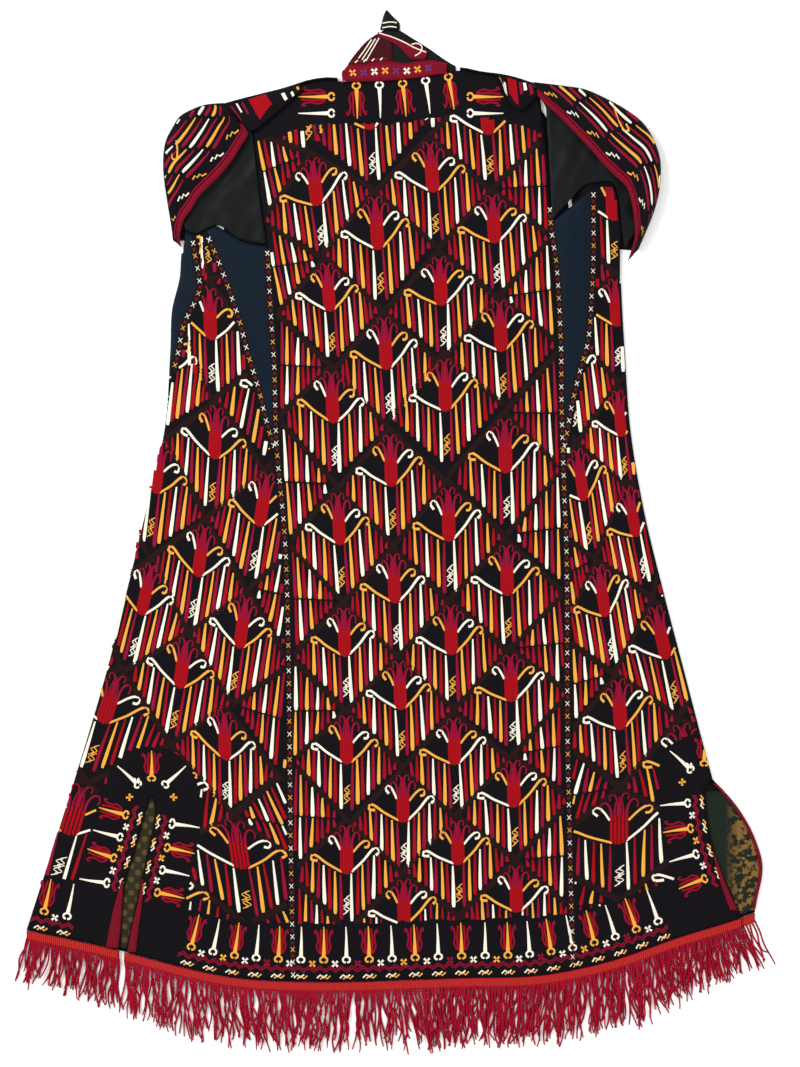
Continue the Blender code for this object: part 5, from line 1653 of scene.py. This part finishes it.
@dataclass
class Fringe:
    """Woven braid along a stretch of the hem, with its twisted cords.

    Args:
        name: name of the pieces.
        start: first end of the stretch, across the robe.
        end: other end.
        height: height of the braid's middle.
        cords: number of cords.
        seed: start of the random numbers.
    """

    name: str
    start: float
    end: float
    height: float
    cords: int
    seed: int
    sides: int = 5
    steps: int = 16

    def braid(self, finishes: Finishes) -> bpy.types.Object:
        """Red woven band."""
        x = np.linspace(self.start, self.end, max(8, int(abs(self.end - self.start) / 4)))
        top = read(HEM, x) - 0.6
        grid = [np.stack([x, top - drop, np.full(x.shape, self.height)], axis=1) for drop in np.linspace(0, BRAID, 5)]
        if self.end < self.start:
            grid = grid[::-1]
        return cloth_piece(f"{self.name}_braid", [grid], finishes.cloth("braid_red"), 1.4)

    def ribs(self) -> ThreadWork:
        """Fine lighter ribs across the braid."""
        work = ThreadWork(f"{self.name}_ribs", lambda x, y: np.stack([x, y, np.full(x.shape, self.height + 0.72)], axis=-1))
        for x in np.arange(min(self.start, self.end) + 2, max(self.start, self.end) - 1, 2.4):
            top = float(read(HEM, x)) - 1.6
            work.ribbon(np.array([(x, top), (x + 0.6, top - BRAID / 2), (x + 0.2, top - BRAID + 2.0)]), 0.8, Thread.RIB, 0.3)
        return work

    def lines(self) -> np.ndarray:
        """Middle lines of the cords, as cords x steps x 3 places."""
        rng = np.random.default_rng(self.seed)
        root = np.linspace(self.start, self.end, self.cords) + rng.uniform(-0.8, 0.8, self.cords)
        length = (80 - 24 * ease((np.abs(root) - 250) / 200)) * rng.uniform(0.72, 1.0, self.cords)
        share = np.linspace(0, 1, self.steps)[None, :]
        distance = length[:, None] * share
        sway = 0.09 * np.sin(root / 40 + 0.8) + 0.05 * np.sin(root / 25 + 2.1) + rng.normal(0, 0.10, self.cords)
        splay = 0.50 * ease((root - 330) / 90) - 0.30 * ease((-root - 370) / 70)
        phase = rng.uniform(0, 2 * math.pi, self.cords)[:, None]
        curl = rng.uniform(1.0, 4.2, self.cords)[:, None] * np.sin(distance / rng.uniform(7, 15, self.cords)[:, None] + phase)
        x = root[:, None] + distance * (sway + splay)[:, None] + curl * ease(distance / 30)
        x = np.clip(x, -458 - CENTRE_X * -1, 458 + CENTRE_X)
        hook = rng.uniform(-4, 6, self.cords)[:, None] * ease((share - 0.8) / 0.2)
        y = read(HEM, root)[:, None] - BRAID + 1.0 - distance * 0.97 + hook
        y = np.maximum(y, -627.5 + CENTRE_Y)
        level = rng.uniform(0.9, 4.6, self.cords)[:, None] if self.height > 2 else np.full((self.cords, 1), 1.0)
        bob = 0.5 * np.sin(distance / 9 + phase)
        z = mix(self.height, np.maximum(level + bob, 0.9), ease(share * 3.0))
        return np.stack([x, y, z], axis=-1)

    def tassels(self, finishes: Finishes) -> bpy.types.Object:
        """Mesh of all cords."""
        lines = self.lines()
        ahead = np.gradient(lines, axis=1)
        ahead /= np.maximum(np.linalg.norm(ahead, axis=2, keepdims=True), 1e-6)
        beside = np.stack([-ahead[..., 1], ahead[..., 0], np.zeros(ahead.shape[:2])], axis=-1)
        beside /= np.maximum(np.linalg.norm(beside, axis=2, keepdims=True), 1e-6)
        above = np.cross(ahead, beside)
        share = np.linspace(0, 1, self.steps)
        radius = (1.12 * (1 - 0.25 * ease((share - 0.7) / 0.3)))[None, :, None]
        rings = []
        for side in range(self.sides):
            turn = 2 * math.pi * side / self.sides
            rings.append(lines + (beside * math.cos(turn) + above * math.sin(turn)) * radius)
        spots = np.stack(rings, axis=2).reshape(-1, 3)
        index = np.arange(self.cords * self.steps * self.sides).reshape(self.cords, self.steps, self.sides)
        ahead_index = np.roll(index, -1, axis=2)
        faces = np.stack([index[:, :-1], ahead_index[:, :-1], ahead_index[:, 1:], index[:, 1:]], axis=-1).reshape(-1, 4)
        mesh = bpy.data.meshes.new(f"{self.name}_cords")
        mesh.from_pydata(in_metres(spots).tolist(), [], faces.tolist())
        mesh.materials.append(finishes.cloth("fringe_red"))
        along = np.broadcast_to((share * 70)[None, :, None], index.shape)
        round_it = np.broadcast_to((np.arange(self.sides) * 1.05)[None, None, :], index.shape)
        uvs = np.stack([round_it, along], axis=-1).reshape(-1, 2)
        layer = mesh.uv_layers.new(name="thread")
        corners = np.zeros(len(mesh.loops), np.int32)
        mesh.loops.foreach_get("vertex_index", corners)
        layer.data.foreach_set("uv", (uvs[corners] * MM).ravel())
        mesh.shade_smooth()
        piece = bpy.data.objects.new(f"{self.name}_cords", mesh)
        bpy.context.scene.collection.objects.link(piece)
        return piece

    def build(self, finishes: Finishes, node: str) -> None:
        """Make the braid and the cords of one node."""
        braid = self.braid(finishes)
        pieces = [braid, self.ribs().build(finishes), self.tassels(finishes)]
        for piece in pieces:
            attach(piece, "root")
        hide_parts(node)
        LOG.info("%s: %d cords", self.name, self.cords)


PHOTO_HIGH = 1.2804
LENS = 110.0
SENSOR = 36.0


class Studio:
    """Pale floor, soft light from the upper left, and a camera straight above."""

    def floor(self) -> None:
        """Even white floor that carries on beyond the picture."""
        material = bpy.data.materials.new("floor")
        material.use_nodes = True
        shader = material.node_tree.nodes["Principled BSDF"]
        shader.inputs["Base Color"].default_value = linear(252, 252, 251)
        shader.inputs["Roughness"].default_value = 0.9
        shader.inputs["Specular IOR Level"].default_value = 0.1
        mesh = bpy.data.meshes.new("floor")
        low = SOLID_BOUNDS[0].z - 0.0002
        mesh.from_pydata([(-9, -9, low), (9, -9, low), (9, 9, low), (-9, 9, low)], [], [(0, 1, 2, 3)])
        mesh.materials.append(material)
        piece = bpy.data.objects.new("floor", mesh)
        bpy.context.scene.collection.objects.link(piece)

    def light(self, name: str, place: tuple, watts: float, size: float) -> None:
        """Large soft light that looks at the middle of the robe."""
        lamp = bpy.data.lights.new(name, "AREA")
        lamp.energy = watts
        lamp.size = size
        piece = bpy.data.objects.new(name, lamp)
        piece.location = place
        piece.rotation_euler = (-Vector(place)).to_track_quat("-Z", "Y").to_euler()
        bpy.context.scene.collection.objects.link(piece)

    def world(self, strength: float) -> None:
        """Even white surroundings, with plain screen colours."""
        world = bpy.data.worlds.new("studio")
        world.use_nodes = True
        back = world.node_tree.nodes["Background"]
        back.inputs["Color"].default_value = (1.0, 1.0, 1.0, 1.0)
        back.inputs["Strength"].default_value = strength
        bpy.context.scene.world = world
        bpy.context.scene.view_settings.view_transform = "Standard"

    def camera(self) -> None:
        """Camera straight above, with the photograph's framing."""
        camera = bpy.data.cameras.new("camera")
        camera.lens = LENS
        camera.sensor_width = SENSOR
        camera.clip_end = 30
        piece = bpy.data.objects.new("camera", camera)
        piece.location = (-CENTRE_X * MM, CENTRE_Y * MM, PHOTO_HIGH * LENS / SENSOR + UPPER * MM)
        bpy.context.scene.collection.objects.link(piece)
        bpy.context.scene.camera = piece

    def build(self) -> None:
        """Make the floor, the lights and the camera."""
        self.floor()
        self.light("key", (-1.9, 1.5, 2.7), 84, 1.2)
        self.light("fill", (1.8, -1.6, 3.0), 30, 2.4)
        self.world(0.98)
        self.camera()


def main() -> None:
    """Build the whole robe and its studio."""
    finishes = Finishes()
    needle = Embroidery(finishes)
    panels = BodyPanels(finishes)
    trims = Trims(finishes)
    fields = needle.fields()
    LOG.info("lattice fields embroidered")

    front_left = panels.front("front_left_silk", FRONT_SIDE_LEFT, -1)
    front_right = panels.front("front_right_silk", FRONT_SIDE_RIGHT, 1)
    lay(front_left, ["front_left"])
    lay(front_right, ["front_right"])
    back = panels.back()
    lay(back, ["back_panel"],
        [fields["embroidery_back"], needle.borders(), needle.seams()])
    gore_left, gore_right = panels.gore_left(), panels.gore_right()
    lay(gore_left, ["gore_left"], [fields["embroidery_gore_left"]])
    lay(gore_right, ["gore_right"], [fields["embroidery_gore_right"]])
    gusset_cuts = (("gusset_left", (82, 260)), ("gusset_right", (56, 300)), ("gusset_left_side", (82, 165)))
    for gusset, (node, cut) in zip(panels.gussets(), gusset_cuts):
        lay(gusset, [node])
    left = trims.underarm("underarm_left_silk", UNDERARM_LEFT, BACK_SEAM_LEFT, -1)
    right = trims.underarm("underarm_right_silk", UNDERARM_RIGHT, BACK_SEAM_RIGHT, 1)
    lay(left, ["underarm_left"])
    lay(right, ["underarm_right"])

    for side, stations, cut, edge_cut in (
        ("left", SLEEVE_LEFT, (150, 205), (10, 170)), ("right", SLEEVE_RIGHT, (215, 250), (10, 240)),
    ):
        form = SleeveForm(side, stations)
        sleeve, edge = form.build(finishes)
        lay(sleeve, [f"sleeve_{side}"], [needle.sleeve(form)])
        lay(edge, [f"sleeve_band_{side}"])
    for side, sections, cut in (("left", SHOULDER_LEFT, (104, 40)), ("right", SHOULDER_RIGHT, (46, 42))):
        corner = trims.shoulder(f"shoulder_corner_{side}", sections)
        lay(corner, [f"shoulder_{side}"], [needle.shoulder(side, sections)])

    neck = trims.neck()
    facing_stripes, trim_stripes, tip_stripes, band_stripes = needle.neck()
    lay(neck["right"], ["neck_facing_right"])
    lay(neck["left"], ["neck_facing_left"], [facing_stripes])
    lay(neck["trim"], ["neck_trim"], [trim_stripes])
    lay(neck["tip"], ["neck_tip"], [tip_stripes])
    lay(neck["band"], ["neck_band"], [band_stripes])

    vents = trims.vents()
    lay(vents["lining_left"], ["vent_lining_left"])
    lay(vents["lining_right"], ["vent_lining_right"])
    lay(vents["binding"], ["vent_binding_right"])
    lay(vents["left_outer"], ["vent_facing_left_outer"])
    lay(vents["left_inner"], ["vent_facing_left_inner"])
    lay(vents["right"], ["vent_facing_right"])

    Fringe("fringe_back", -331, 410, UPPER, 420, 5).build(finishes, "fringe_back")
    Fringe("fringe_front_left", -337, -448, UPPER, 74, 6).build(finishes, "fringe_front_left")
    Fringe("fringe_front_right", 30, 426, 1.4, 110, 7).build(finishes, "fringe_front_right")
    Studio().build()


if __name__ == "__main__":
    main()
